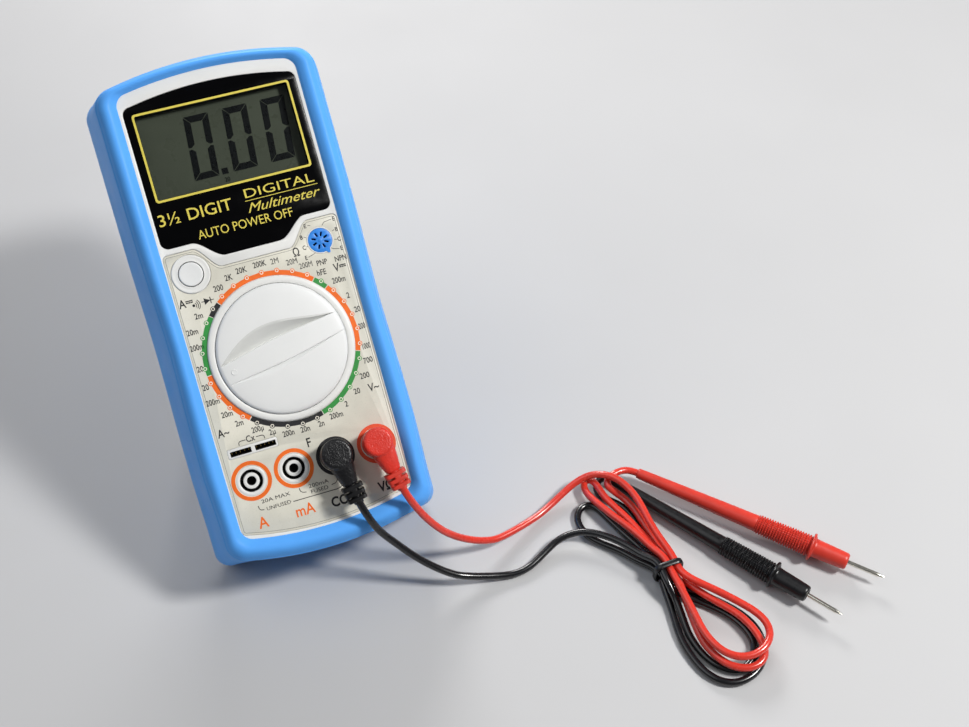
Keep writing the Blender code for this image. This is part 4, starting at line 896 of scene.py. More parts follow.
# Rings and names of the four inputs, and the bracket lines that join them.
for u, mat, r0, r1 in (
    (JACK_U[0], INK_ORANGE, 6.35, 7.95),
    (JACK_U[1], INK_ORANGE, 6.35, 7.95),
    (JACK_U[2], INK_BLACK, 6.35, 7.8),
    (JACK_U[3], INK_ORANGE_RED, 6.35, 7.95),
):
    ink.add(printed_ring(u, JACK_V, r0, r1, -0.02, 0.05, 96), mat)
    ink.add(printed_ring(u, JACK_V, r0 - 0.12, r0, -0.02, 0.035, 96), INK_CREAM)
ink.add(lettering("A", -25.9, -67.7, 4.4, squeeze=0.9, bold=0.012), INK_ORANGE)
ink.add(lettering("mA", -8.7, -67.7, 4.4, squeeze=0.86, bold=0.012), INK_ORANGE)
ink.add(lettering("COM", 7.3, -68.3, 3.8, squeeze=0.86, bold=0.03), INK_BLACK)
ink.add(lettering("VΩ", 24.9, -68.0, 3.8, squeeze=0.86, bold=0.03), INK_BLACK)
ink.add(stroke([(-26.1, -60.9), (-26.0, -62.1), (-25.4, -62.8), (-24.2, -63.0)], 0.3), INK_BLACK)
ink.add(stroke([(-12.4, -63.3), (5.6, -63.6), (7.3, -63.3), (8.4, -62.2), (8.5, -59.6)], 0.3), INK_BLACK)
ink.add(stroke([(-8.8, -58.9), (-8.6, -60.2), (-7.8, -60.9), (-6.4, -61.2)], 0.3), INK_BLACK)
ink.add(stroke([(4.0, -61.3), (5.7, -61.1), (6.6, -60.3), (6.8, -59.2)], 0.3), INK_BLACK)
for string, u, v, wide in (
    ("20A MAX", -18.6, -59.7, 11.6),
    ("UNFUSED", -18.2, -63.0, 9.8),
    ("200mA", -0.9, -59.3, 8.2),
    ("FUSED", -1.1, -61.7, 7.0),
):
    ink.add(lettering(string, u, v, 1.5, width=wide), INK_BLACK)
ink.build("face_printing", "meter_body", (), "label_film")

# ------------------------------------------------------------------ display
opening = rounded(-30.25, 30.25, 64.35, 97.65, 0.6)
mask = Shape()
mask.add(plate([mask_outline, opening], -0.5, 0.2, 0.08, 0.0), MASK)
# The walls down to the display glass are near-black painted shade.
mask.add(plate([offset(opening, 0.9), offset(opening, 0.05)], -4.4, -0.45), PAINTED_SHADOW_BLACK)
frame_out = rounded(-31.2, 31.2, 63.4, 98.6, 1.2)
mask.add(plate([frame_out, offset(opening, 0.1)], 0.18, 0.26), INK_YELLOW)
mask.add(lettering("3½ DIGIT", -17.9, 56.6, 4.5, 0.18, 0.26, width=29.0, bold=0.006), INK_YELLOW)
mask.add(lettering("DIGITAL", 16.4, 59.0, 3.5, 0.18, 0.26, width=28.2), INK_YELLOW)
mask.add(lettering("Multimeter", 16.8, 53.2, 3.7, 0.18, 0.26, width=29.5, shear=0.45), INK_YELLOW)
mask.add(stroke([(1.9, 56.1), (31.4, 56.1)], 0.26, 0.18, 0.25), INK_YELLOW)
mask.add(lettering("AUTO POWER OFF", -0.3, 47.8, 3.5, 0.18, 0.26, width=38.0), INK_YELLOW)
mask.build("display_mask", "meter_body", ["display_window"], "window_plastic")
pane = Shape().add(plate([rounded(-31.1, 31.1, 63.5, 98.5, 0.8)], -1.0, -0.55), CLEAR)
pane.build("display_pane", "meter_body", (), "window_plastic")

lcd = Shape()


def slanted(x0, points):
    return [(x0 + x + y * 2.1 / 24.7, 68.95 + y) for x, y in points]


W, H, S, G = 9.85, 25.1, 2.6, 0.2
segments = (
    [(G, H), (W - G, H), (W - S - G * 0.4, H - S), (S + G * 0.4, H - S)],
    [(G, 0), (S + G * 0.4, S), (W - S - G * 0.4, S), (W - G, 0)],
    [(0, H - G), (S, H - S - G), (S, H / 2 + S * 0.55), (S * 0.45, H / 2 + 0.28), (0, H / 2 + 0.5)],
    [(0, G), (0, H / 2 - 0.5), (S * 0.45, H / 2 - 0.28), (S, H / 2 - S * 0.55), (S, S + G)],
    [(W, H - G), (W, H / 2 + 0.5), (W - S * 0.45, H / 2 + 0.28), (W - S, H / 2 + S * 0.55), (W - S, H - S - G)],
    [(W, G), (W - S, S + G), (W - S, H / 2 - S * 0.55), (W - S * 0.45, H / 2 - 0.28), (W, H / 2 - 0.5)],
)
for x0 in (-14.4, 1.2, 16.5):
    for points in segments:
        lcd.add(prism(slanted(x0, points), -4.52, -4.42), LCD_INK)
lcd.add(prism(rectangle(-3.3, -0.85, 68.9, 71.3), -4.52, -4.42), LCD_INK)
lcd.add(lettering("20", -2.0, 66.7, 1.7, -4.52, -4.42, squeeze=0.85, bold=0.02), LCD_INK)
lcd.build("lcd_digits", "meter_body", (), "lcd")

# ------------------------------------------------------------------ sockets
for name, u in zip(("a", "ma", "com", "volt"), JACK_U):
    sleeve = ((-16.7, 2.3), (-16.7, 4.2), (-15.4, 4.2), (-15.4, 3.1), (-1.2, 3.1), (-1.2, 2.3))
    Shape().add(pipe((u, JACK_V, 0), (0, 0, 1), sleeve, 32), BRASS).build(
        f"jack_sleeve_{name}", "meter_body", [f"input_jack_{name}"], "brass"
    )
sock = Shape()
holes = []
for k in range(8):
    a = 2 * PI * (k + 0.5) / 8
    ca, sa = math.cos(a), math.sin(a)
    pts = rounded(1.65, 3.5, -0.38, 0.38, 0.28, 3)
    holes.append([(HFE_UV[0] + ca * x - sa * y, HFE_UV[1] + sa * x + ca * y) for x, y in pts])
sock.add(plate([circle(*HFE_UV, 4.85, 64)] + holes, -2.2, 0.1, 0.15, 0.06), SOCKET_BLUE)
# Near-black painted shade lines the pit under the socket's holes.
sock.add(turned((*HFE_UV, 0), (0, 0, 1), ((-9, 4.7), (-2.2, 4.7)), 48), PAINTED_SHADOW_BLACK)
sock.add(turned((*HFE_UV, 0), (0, 0, 1), ((-0.5, 0.75), (0.2, 0.75), (0.28, 0.55)), 24), SOCKET_BLUE)
key = [(HFE_UV[0] + r * math.cos(deg(a)), HFE_UV[1] + r * math.sin(deg(a))) for r, a in ((4.6, -80), (6.1, -68), (6.1, -62), (4.6, -50))]
sock.add(prism(key, -0.4, 0.25), SOCKET_BLUE)
sock.build("transistor_socket_insert", "meter_body", ["transistor_socket"], "socket_blue")

# ------------------------------------------------------------------ selector
cp, sp = math.cos(POINTER), math.sin(POINTER)
DISC_R, TOP_R = 25.95, 25.05


def dome(t, h):
    r2 = min(1.0, (t * t + h * h) / TOP_R**2)
    return 2.3 + 1.5 * (1 - r2) ** 0.75


def bar_half(t):
    return 4.05 + 0.85 * math.cos(PI * t / 56) ** 2


def arc_half(t):
    return bar_half(t) + 6.1 * max(0.0, math.sin(PI * max(0.0, (t + 24.8) / 49.6) ** 1.36)) ** 1.05


rows = []
T = 24.6
for i in range(121):
    t = -T * math.cos(PI * i / 120)
    edge = math.sqrt(max(TOP_R**2 - t * t, 0.0))
    hb = min(bar_half(t), edge * 0.93)
    sides = []
    # The scoop above the bar is wide and deep, the one below it narrow.
    for share, deep in ((1.0, 3.5), (0.3, 1.3)):
        ha = max(min(hb + (arc_half(t) - bar_half(t)) * share, edge * 0.97), hb + 0.02)
        depth = deep * max(0.0, math.cos(PI * t / (2 * T + 0.3))) ** 0.6
        half = []
        for s in (0.0, 0.35, 0.7, 0.9, 1.0):
            h = (hb - 0.42) * s
            half.append((h, dome(t, h)))
        half.append((hb - 0.12, dome(t, hb) - 0.07))
        half.append((hb, dome(t, hb) - 0.3))
        floor = dome(t, ha) - depth
        half.append((hb + 0.01, min(dome(t, hb) - 0.32, floor + 0.25)))
        for s in (0.06, 0.2, 0.4, 0.6, 0.8, 0.93):
            half.append((hb + (ha - hb) * s, floor + (dome(t, ha) - floor) * s))
        half.append((ha, dome(t, ha) - 0.03 * depth / 4))
        for s in (0.06, 0.25, 0.5, 0.75, 0.92, 1.0):
            h = ha + (edge - ha) * s
            half.append((h, dome(t, h)))
        sides.append(half)
    row = [(t, -h, w) for h, w in reversed(sides[0][1:])] + [(t, h, w) for h, w in sides[1]]
    rows.append(row)
m = len(rows[0])
verts = [(cp * t - sp * h, DIAL_V + sp * t + cp * h, w) for row in rows for t, h, w in row]
faces = []
for r in range(len(rows) - 1):
    for i in range(m - 1):
        a = r * m + i
        faces.append([a, a + 1, a + m + 1, a + m])
loop = [r * m + m - 1 for r in range(len(rows))] + [len(verts) - m + i for i in range(m - 2, 0, -1)]
loop += [r * m for r in range(len(rows) - 1, -1, -1)] + [i for i in range(1, m - 1)]
prev = loop
for radius, w in ((25.5, 2.0), (25.85, 1.6), (DISC_R, 1.2), (DISC_R, -2.6)):
    new = []
    for i in loop:
        x, y = verts[i][0], verts[i][1] - DIAL_V
        k = radius / math.hypot(x, y)
        new.append(len(verts))
        verts.append((x * k, DIAL_V + y * k, w))
    for i in range(len(loop)):
        j = (i + 1) % len(loop)
        faces.append([prev[i], prev[j], new[j], new[i]])
    prev = new
faces.append(prev)
# The faces of the scoop above the bar take the darker grey: painted shade on that scoop.
painted_shade_faces = set()
for r in range(len(rows) - 1):
    for i in range(len(half) - 16, len(half) - 8):
        painted_shade_faces.add(r * (m - 1) + i)
knob = Shape().add((verts, [f for k, f in enumerate(faces) if k not in painted_shade_faces]), KNOB_WHITE)
knob.add((verts, [f for k, f in enumerate(faces) if k in painted_shade_faces]), KNOB_PAINTED_SHADE)
mu, mv = cp * 21.0, DIAL_V + sp * 21.0
knob.add(pipe((mu, mv, 0), (0, 0, 1), ((2.4, 0.8), (2.4, 1.15), (2.98, 1.15), (3.08, 1.05), (3.08, 0.9), (2.98, 0.8)), 24), KNOB_WHITE)
knob.build("dial_knob", "selector", ["selector_knob"], "case_plastic", angle=33)

# ------------------------------------------------------------------ power button
pu, pv = POWER_UV
button = Shape().add(
    turned(
        (pu, pv, 0),
        (0, 0, 1),
        ((-4.1, 4.68), (0.3, 4.68), (0.48, 4.62), (0.6, 4.45), (0.62, 4.1), (0.52, 3.0), (0.48, 1.5), (0.46, 0.0)),
        64,
    ),
    KNOB_WHITE,
)
button.build("power_cap", "power_button", ["power_button_cap"], "case_plastic")


# ------------------------------------------------------------------ plugs
def fuse_solid(shape_list, voxel, relax_rounds, grain, keep_below=None):
    """Several overlapping solids as one skin, with a fine moulded stipple."""
    part = Shape()
    for solid in shape_list:
        part.add(solid, BLACK)
    co = np.array(part.verts, float)
    mesh = bpy.data.meshes.new("fuse")
    mesh.from_pydata(co.tolist(), [], part.faces)
    obj = bpy.data.objects.new("fuse", mesh)
    bpy.context.scene.collection.objects.link(obj)
    bm = bmesh.new()
    bm.from_mesh(mesh)
    bmesh.ops.recalc_face_normals(bm, faces=bm.faces[:])
    bm.to_mesh(mesh)
    bm.free()
    modifier = obj.modifiers.new("skin", "REMESH")
    modifier.mode = "VOXEL"
    modifier.voxel_size = voxel
    even = obj.modifiers.new("even", "SMOOTH")
    even.iterations = relax_rounds
    even.factor = 0.5
    bpy.context.view_layer.update()
    graph = bpy.context.evaluated_depsgraph_get()
    done = obj.evaluated_get(graph).to_mesh()
    verts = []
    for vert in done.vertices:
        p, n = vert.co, vert.normal
        amount = grain * (noise.noise(p * 2.6) * 0.7 + noise.noise(p * 4.6) * 0.5)
        if keep_below is not None and p.z < keep_below:
            amount = 0.0
        verts.append(tuple(p + n * amount))
    faces = [list(q.vertices) for q in done.polygons]
    obj.evaluated_get(graph).to_mesh_clear()
    bpy.data.objects.remove(obj, do_unlink=True)
    return verts, faces


def superellipse(centre, along, wide, high, a, b, n=24, power=3.4):
    ring = []
    for i in range(n):
        t = 2 * PI * i / n
        x = math.copysign(abs(math.cos(t)) ** (2 / power), math.cos(t)) * a
        y = math.copysign(abs(math.sin(t)) ** (2 / power), math.sin(t)) * b
        ring.append(tuple(centre + wide * x + high * y))
    return ring


def block(centre, along, wide, high, stations, power=3.4, n=24):
    return bridge(
        [superellipse(centre + along * s, along, wide, high, a, b, n, power) for s, a, b in stations]
    )


def plug(colour, jack, lean, head_r, mat, stipple):
    u = JACK_U[jack]
    body = f"{colour}_plug"
    d = Vector((math.sin(lean), -math.cos(lean), 0.0))
    side = Vector((d.y, -d.x, 0.0))
    up = Vector((0, 0, 1))
    root = Vector((u, JACK_V, EXIT_W))
    # The plug stands a little askew, leaning towards the display.
    head = turned(
        (u - 0.2, JACK_V + 0.15, 0),
        (-0.02 if jack == 2 else -0.045, 0.125, 1),
        (
            (0.65, head_r - 1.0), (0.7, head_r - 0.3), (1.2, head_r - 0.05), (8.0, head_r),
            (12.9, head_r), (13.55, head_r - 0.3), (13.95, head_r - 0.85), (14.05, head_r - 1.3), (14.1, 0.3),
        ),
        64,
    )
    arm = block(
        root,
        d,
        side,
        up,
        [(0.0, 4.9, 4.3), (4.0, 4.7, 4.2), (7.5, 4.0, 3.7), (10.2, 3.4, 3.2), (11.4, 3.1, 3.0), (11.7, 2.6, 2.6)],
        2.7,
        32,
    )
    skin = fuse_solid([head, arm], 0.24, 2, 0.1)
    boot = Shape().add(skin, stipple)
    core = turned(root, d, ((9.0, 2.45), (14.0, 2.3), (19.4, 2.05), (20.0, 1.9)), 28)
    boot.add(core, mat)
    start = 12.1
    for k, (a, b) in enumerate(((4.35, 3.5), (4.15, 3.35), (3.95, 3.2))):
        s = start + 2.5 * k
        boot.add(
            block(root, d, side, up, [(s, a - 0.15, b - 0.15), (s + 0.12, a, b), (s + 1.45, a, b), (s + 1.6, a - 0.15, b - 0.15)], 6.0, 32),
            mat,
        )
        if k % 2 == 0:
            places = ((0.0, b - 0.7, 1.2, 0.7), (0.0, -b + 0.7, 1.2, 0.7))
        else:
            places = ((a - 0.75, 0.0, 0.75, 1.1), (-a + 0.75, 0.0, 0.75, 1.1))
        for x, y, p, q in places:
            boot.add(
                block(root + side * x * 0.95 + up * y * 0.95, d, side, up, [(s + 1.4, p, q), (s + 2.7 - 0.6 * (k == 2), p, q)], 6, 20),
                mat,
            )
    boot.build(f"{colour}_boot", body, [f"{colour}_plug_boot"], f"{colour}_lead", angle=42)
    pin = Shape().add(
        turned(
            (u, JACK_V, 0),
            (0, 0, 1),
            ((-15.55, 0.5), (-15.3, 1.0), (-14.7, 1.6), (-13.9, 1.85), (-8.4, 1.85), (-8.1, 1.7), (-7.7, 1.7), (-7.4, 1.85), (0.66, 1.85)),
            32,
        ),
        NICKEL,
    )
    pin.build(f"{colour}_pin", body, [f"{colour}_plug_pin"], "nickel")
    return F(*(root + d * 19.2)), F(*(root + d * 20.4))


red_seat, red_exit = plug("red", 3, deg(12), 5.9, RED_GRIP, RED_STIPPLE)
black_seat, black_exit = plug("black", 2, deg(9), 6.2, BLACK_GRIP, BLACK_STIPPLE)


# ------------------------------------------------------------------ probes
def probe(colour, tail, nose, mat):
    tail, nose = Vector(tail), Vector(nose)
    d = (nose - tail).normalized()
    length = (nose - tail).length
    guard = length - 15.4
    grip0, grip1 = guard - 24.8, guard - 1.2
    side = d.orthogonal().normalized()
    other = d.cross(side)
    handle = Shape()

    def rings_of(stations, n, ripple=None):
        rings = []
        for s, r in stations:
            ring = []
            for i in range(n):
                a = 2 * PI * i / n
                rr = r + (ripple(s, i, n) if ripple else 0.0)
                ring.append(tuple(tail + d * s + (side * math.cos(a) + other * math.sin(a)) * rr))
            rings.append(ring)
        return bridge(rings)

    stem = [(0.0, 1.75), (0.15, 2.05), (0.6, 2.25), (1.4, 2.3)]
    for i in range(1, 25):
        t = i / 24
        stem.append((1.4 + (grip0 - 1.6) * t, 2.3 + 1.3 * t**0.85))
    stem += [(grip0 + 0.05, 3.5)]
    handle.add(rings_of(stem, 56), mat)

    teeth = 28
    fine = 192

    def diamonds(s, i, n):
        x = abs(((i / n * teeth) % 1.0) - 0.5) * 2
        y = abs((((s - grip0) / 1.13) % 1.0) - 0.5) * 2
        hoop = min(1.0, max(0.0, (y - 0.22) * 3.2))
        nick = min(1.0, max(0.0, (x - 0.12) * 3.5))
        fade = min(1.0, (s - grip0) / 0.3, (grip1 - s) / 0.3)
        return (0.62 * hoop * (0.45 + 0.55 * nick) - 0.36) * max(0.0, fade)

    count = 220
    knurl = [
        (grip0 + (grip1 - grip0) * i / count, 3.85 + 0.6 * i / count) for i in range(count + 1)
    ]
    handle.add(rings_of([(grip0 - 0.02, 3.45)] + knurl + [(grip1 + 0.02, 3.6)], fine, lambda s, i, n: diamonds(s, i, n) if grip0 <= s <= grip1 else 0.0), mat)
    handle.add(
        rings_of(
            [
                (grip1 - 0.1, 3.6), (guard - 1.0, 4.3), (guard - 0.95, 5.5), (guard - 0.75, 5.9), (guard - 0.45, 6.02),
                (guard - 0.1, 5.95), (guard + 0.1, 5.7), (guard + 0.35, 4.9), (guard + 0.6, 4.35), (guard + 0.9, 4.12),
                (guard + 1.6, 4.05), (length - 1.6, 3.62), (length - 0.9, 3.55), (length - 0.4, 3.35),
                (length - 0.1, 3.0), (length, 2.7), (length + 0.02, 2.2), (length - 0.25, 1.95), (length - 0.5, 1.3),
            ],
            64,
        ),
        mat,
    )
    handle.build(f"{colour}_handle", "meter_body", [f"{colour}_probe_handle"], f"{colour}_lead", world=True, angle=50)
    tip = Shape().add(
        turned(nose - d * 0.4, d, ((0, 0.93), (12.8, 0.93), (13.2, 0.88), (14.6, 0.6), (15.8, 0.26), (16.3, 0.12), (16.35, 0.03)), 32),
        NICKEL,
    )
    tip.build(f"{colour}_tip", "meter_body", [f"{colour}_probe_tip"], "nickel", world=True)
    return tail, d


RED_PROBE = ((136.0, -24.4, 6.6), (200.0, -95.9, 6.2))
BLACK_PROBE = ((124.9, -21.8, 3.4), (176.5, -103.6, 6.4))
red_tail, red_probe_dir = probe("red", *RED_PROBE, RED_GRIP)
black_tail, black_probe_dir = probe("black", *BLACK_PROBE, BLACK_GRIP)


# ------------------------------------------------------------------ leads
def spline(points, spacing):
    p = [Vector(q) for q in points]
    p = [p[0] * 2 - p[1]] + p + [p[-1] * 2 - p[-2]]
    dense = []
    for i in range(1, len(p) - 2):
        for k in range(24):
            t = k / 24
            dense.append(catmull(p[i - 1], p[i], p[i + 1], p[i + 2], t))
    dense.append(p[-2])
    lengths = [0.0]
    for a, b in zip(dense, dense[1:]):
        lengths.append(lengths[-1] + (b - a).length)
    count = max(2, round(lengths[-1] / spacing))
    out, j = [], 0
    for i in range(count + 1):
        goal = lengths[-1] * i / count
        while j < len(dense) - 2 and lengths[j + 1] < goal:
            j += 1
        t = (goal - lengths[j]) / max(lengths[j + 1] - lengths[j], 1e-9)
        out.append(dense[j].lerp(dense[j + 1], min(max(t, 0.0), 1.0)))
    return out


def tie_slot(across, up):
    return Vector((TIE[0] + 3.5 * across, TIE[1], TIE[2] + 3.1 * up))


def through(slot):
    return [slot + Vector((0, 4.0, 0)), slot, slot + Vector((0, -4.0, 0))]


red_slots = [tie_slot(1, 1), tie_slot(0, 1), tie_slot(0.5, 0), tie_slot(1, -1)]
black_slots = [tie_slot(-1, 1), tie_slot(-0.5, 0), tie_slot(-1, -1), tie_slot(0, -1)]


def points(*flat):
    return [Vector(p) for p in flat]


# Red lead: in over the top, round the high forward loop, back through a narrow
# rear loop, round the lower forward loop, and out to the probe.
red_route = points((83.6, -29, 2.4), (94.5, -24.3, 2.8), (106, -19.6, 5), (110.3, -18.9, 6.6), (114.1, -18.9, 8.2), (117.9, -20.7, 10), (121.5, -23.4, 11.2), (124.7, -26.8, 11.4), (127.1, -31.8, 11.2), (128.6, -37.2, 10.8), (129, -43.1, 10.8), (129.2, -54, 10.2))
red_route += through(red_slots[0])
red_route += points((134.6, -82.3, 9.3), (141.3, -89.7, 8.8), (147.5, -97.3, 8.4), (152.4, -104.6, 8.2), (154, -111, 8), (152, -116.1, 7.9), (147.7, -119.5, 7.9), (142.5, -120.7, 8), (137.2, -119.7, 8.2), (132.6, -116.3, 8.3), (129.6, -110.8, 8.4), (128.1, -104.1, 8.6), (128.1, -96.2, 8.7), (128, -86.7, 8.9))
red_route += through(red_slots[1])[::-1]
red_route += points((125.5, -62.9, 8.2), (123.6, -55.6, 7.6), (120.6, -48.4, 7.2), (117, -41.1, 6.8), (114.4, -34.7, 6), (112.4, -28.8, 5), (111.5, -23.6, 4), (112.3, -19.4, 3.4), (114.2, -17.7, 3.5), (116, -18.5, 4.6), (117.4, -22.6, 5.4), (117.8, -28.6, 5.4), (119.3, -34.2, 5.3), (121.6, -40.1, 5.2), (123.9, -47.1, 5.2), (125.9, -54.4, 5.5))
red_route += through(red_slots[2])
red_route += points((128.2, -85.7, 5.7), (127.5, -95.7, 5.3), (127, -102.2, 5.2), (127.2, -108.8, 5), (129, -114, 4.9), (131.7, -119.2, 4.8), (136.2, -122.8, 4.7), (141.3, -124.2, 4.6), (146.4, -122.6, 4.7), (148.7, -119.5, 4.9), (149.3, -114.1, 5), (148.6, -107.8, 5), (146.1, -101.1, 5), (142, -95.3, 5), (136.6, -88.2, 4.8), (132.4, -81.4, 4))
red_route += through(red_slots[3])[::-1]
red_route += points((128.5, -57, 4.2), (127.5, -49, 4.8), (127.3, -43.1, 5), (126.5, -37.9, 5), (124.3, -32.2, 5.4), (121.8, -28.8, 6.4), (119.8, -26.1, 7.3), (120.9, -23.7, 7.6), (124.3, -22.1, 7.7), (127.6, -21.1, 7.5))
red_route += [red_tail - red_probe_dir * 5.6 + Vector((-0.2, -0.9, 0.2)), red_tail - red_probe_dir * 3.0, red_tail - red_probe_dir * 0.9]

# Black lead: the same pattern, lying under the red one.
black_route = points((61, -49.2, 1.7), (72.8, -49.6, 1.7), (82.6, -45.6, 2.4), (90.4, -42.2, 3.8), (96.6, -41.9, 5), (101.2, -43, 5.9), (106.4, -46, 6.4), (110.6, -49.8, 6.8), (114.3, -54, 7), (117.8, -59, 7.2), (120.1, -63.5, 7.9))
black_route += through(black_slots[0])
black_route += points((125.3, -83.8, 5.4), (124.5, -93.3, 3.2), (123.6, -100.6, 2.4), (124.5, -107.3, 2), (126, -112.3, 1.8), (128.5, -116.8, 1.7), (131.8, -120.1, 1.7), (136.6, -122, 1.7), (141.7, -120.8, 1.7), (145.7, -116.9, 1.7), (147.7, -111.5, 1.7), (147.1, -105.8, 1.7), (144.7, -99.6, 1.7), (140.2, -93.2, 1.7), (133.6, -85.7, 1.8), (128.6, -81.2, 3.4))
black_route += through(black_slots[1])[::-1]
black_route += points((123.5, -61.9, 4.2), (122.3, -57.4, 2.8), (118.3, -46, 1.9), (115.5, -37.6, 1.7), (113.8, -32.5, 1.7), (111.4, -29, 1.7), (107.8, -28.8, 1.7), (104.6, -31.4, 1.7), (102.9, -34.9, 1.7), (102.9, -39.1, 1.7), (104.7, -44.7, 1.7), (108.8, -49.9, 1.7), (113.1, -54.2, 1.8), (116.4, -58.6, 2), (119.5, -63.3, 2.4))
black_route += through(black_slots[2])
black_route += points((123.3, -87.1, 2), (121.9, -94.8, 1.7), (120.9, -102.7, 1.7), (121.2, -109.5, 1.7), (122.3, -115.3, 1.7), (124.3, -120, 1.7), (127.9, -124.2, 1.7), (133, -126.4, 1.7), (139.3, -126, 1.7), (145.1, -123.3, 1.7), (149.4, -118.5, 1.7), (151.3, -112.5, 1.7), (150.9, -106.1, 1.7), (147.9, -99.6, 1.7), (142.9, -93, 1.7), (136.4, -85.7, 1.7), (130.2, -80.2, 2.2))
black_route += through(black_slots[3])[::-1]
black_route += points((127.1, -59.9, 2), (127.1, -50, 1.8), (125.9, -40.6, 1.8), (123.7, -34.1, 1.8), (120.3, -30.4, 1.7), (117.3, -26.8, 1.7), (116.9, -22.6, 1.7), (118.9, -19.2, 2.2))
black_route += [black_tail - black_probe_dir * 3.0, black_tail - black_probe_dir * 0.9]

red_in = [red_seat, red_exit, (33, -27, 41), (37.5, -30, 32), (43.8, -32.4, 22.5), (52.8, -33.7, 13.5), (62.8, -34, 7.2), (72.8, -33, 3.8)]
black_in = [black_seat, black_exit, (14, -27, 42), (17, -30, 35), (22, -33, 28), (28, -36.8, 20.5), (35, -40.6, 13.5), (43, -44.4, 7.8), (52, -47.1, 3.6)]

SPACING = 2.0


def relax(cables, obstacles, clearance, rounds=170):
    """Strands pushed apart where they cross, kept smooth and above the table."""
    pos = np.array([list(p) for cable in cables for p in cable])
    home = pos.copy()
    owner = np.concatenate([[k] * len(c) for k, c in enumerate(cables)])
    index = np.concatenate([np.arange(len(c)) for c in cables])
    fixed = np.abs(pos[:, 1] - TIE[1]) < 4.5
    fixed &= np.abs(pos[:, 0] - TIE[0]) < 7
    start = 0
    for cable in cables:
        fixed[start : start + 3] = True
        fixed[start + len(cable) - 3 : start + len(cable)] = True
        start += len(cable)
    near = (owner[:, None] == owner[None, :]) & (np.abs(index[:, None] - index[None, :]) * SPACING < 9.0)
    solid = np.array([o[:3] for o in obstacles])
    solid_r = np.array([o[3] for o in obstacles])
    inside = (index > 0) & (np.append(owner[1:], -1) == owner)
    rows_ = np.where(inside)[0]
    for step in range(rounds):
        delta = pos[:, None, :] - pos[None, :, :]
        dist = np.sqrt((delta**2).sum(2)) + 1e-9
        push = np.clip(clearance - dist, 0.0, None)
        push[near] = 0.0
        move = (delta / dist[:, :, None] * push[:, :, None]).sum(1) * 0.28
        delta = pos[:, None, :] - solid[None, :, :]
        dist = np.sqrt((delta**2).sum(2)) + 1e-9
        push = np.clip(solid_r[None, :] - dist, 0.0, None)
        move += (delta / dist[:, :, None] * push[:, :, None]).sum(1) * 0.5
        size = np.sqrt((move**2).sum(1, keepdims=True)) + 1e-9
        move *= np.minimum(size, 0.6) / size
        pos[~fixed] += move[~fixed]
        if step < rounds - 70:
            shift = pos - home
            bend = 0.5 * (shift[rows_ - 1] + shift[rows_ + 1]) - shift[rows_]
            step_to = np.zeros_like(pos)
            step_to[rows_] = 0.35 * bend
            pos[~fixed] += step_to[~fixed]
        pos[~fixed, 2] = np.maximum(pos[~fixed, 2], CABLE_R + 0.1)
    out, start = [], 0
    for cable in cables:
        out.append([Vector(p) for p in pos[start : start + len(cable)]])
        start += len(cable)
    return out


obstacles = []
for tail, nose in (RED_PROBE, BLACK_PROBE):
    tail, nose = Vector(tail), Vector(nose)
    for i in range(1, 60):
        t = i / 60
        p = tail.lerp(nose, t)
        obstacles.append((p.x, p.y, p.z, 2.2 + 2.3 * t + CABLE_R + 0.5))
red_path, black_path = relax(
    [spline(red_route, SPACING), spline(black_route, SPACING)], obstacles, 2 * CABLE_R + 0.7
)


def eased(points, rounds=3):
    pts = [Vector(p) for p in points]
    for _ in range(rounds):
        pts = (
            [pts[0]]
            + [pts[i] * 0.5 + (pts[i - 1] + pts[i + 1]) * 0.25 for i in range(1, len(pts) - 1)]
            + [pts[-1]]
        )
    return pts


for colour, lead_in, path, seat, landing, mat, tail, d in (
    ("red", red_in, red_path, red_exit, (60, -33, 9.0), RED_LEAD, red_tail, red_probe_dir),
    ("black", black_in, black_path, black_exit, (44, -43.5, 7.5), BLACK_LEAD, black_tail, black_probe_dir),
):
    whole = spline(list(lead_in), 2.0)[:-2] + path[1:]
    whole = spline(eased(whole, 3) + [tail + d * 0.4], 1.0)
    lead = Shape().add(swept(whole, CABLE_R + 0.06, 16), mat)
    obj = lead.build(
        f"{colour}_lead", "meter_body", [f"{colour}_cable", f"{colour}_lead_in"], f"{colour}_lead", world=True, angle=80, ride=False
    )
    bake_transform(obj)

# Cable tie: a flattened rubber loop with eased edges.
tie = []
for grow, y in ((0.0, 1.2), (0.0, -1.2), (0.5, -1.3), (0.8, -1.0), (0.85, 0.0), (0.8, 1.0), (0.5, 1.3)):
    half_x, half_z, corner = 5.6 + grow, 4.95 + grow, 2.4 + grow
    ring = []
    for k, (sx, sz) in enumerate(((1, 1), (-1, 1), (-1, -1), (1, -1))):
        for i in range(9):
            a = k * PI / 2 + PI / 2 * i / 8
            ring.append(
                (
                    TIE[0] + sx * (half_x - corner) + corner * math.cos(a),
                    TIE[1] + y,
                    TIE[2] + sz * (half_z - corner) + corner * math.sin(a),
                )
            )
    tie.append(ring)
Shape().add(bridge(tie, closed=True), BLACK_GRIP).build(
    "lead_tie", "meter_body", ["cable_tie"], "black_lead", world=True, angle=45
)

# ------------------------------------------------------------------ tilt stand
hinge = F(0.0, STAND_V, STAND_W)
drop = Vector((0.0, STAND_REACH, -hinge.z)).normalized()
thick = Vector((0.0, -drop.z, drop.y))
long_ = hinge.z / -drop.z


def stand_point(x, along, out):
    p = hinge + drop * along + thick * out
    return (x, p.y, p.z)


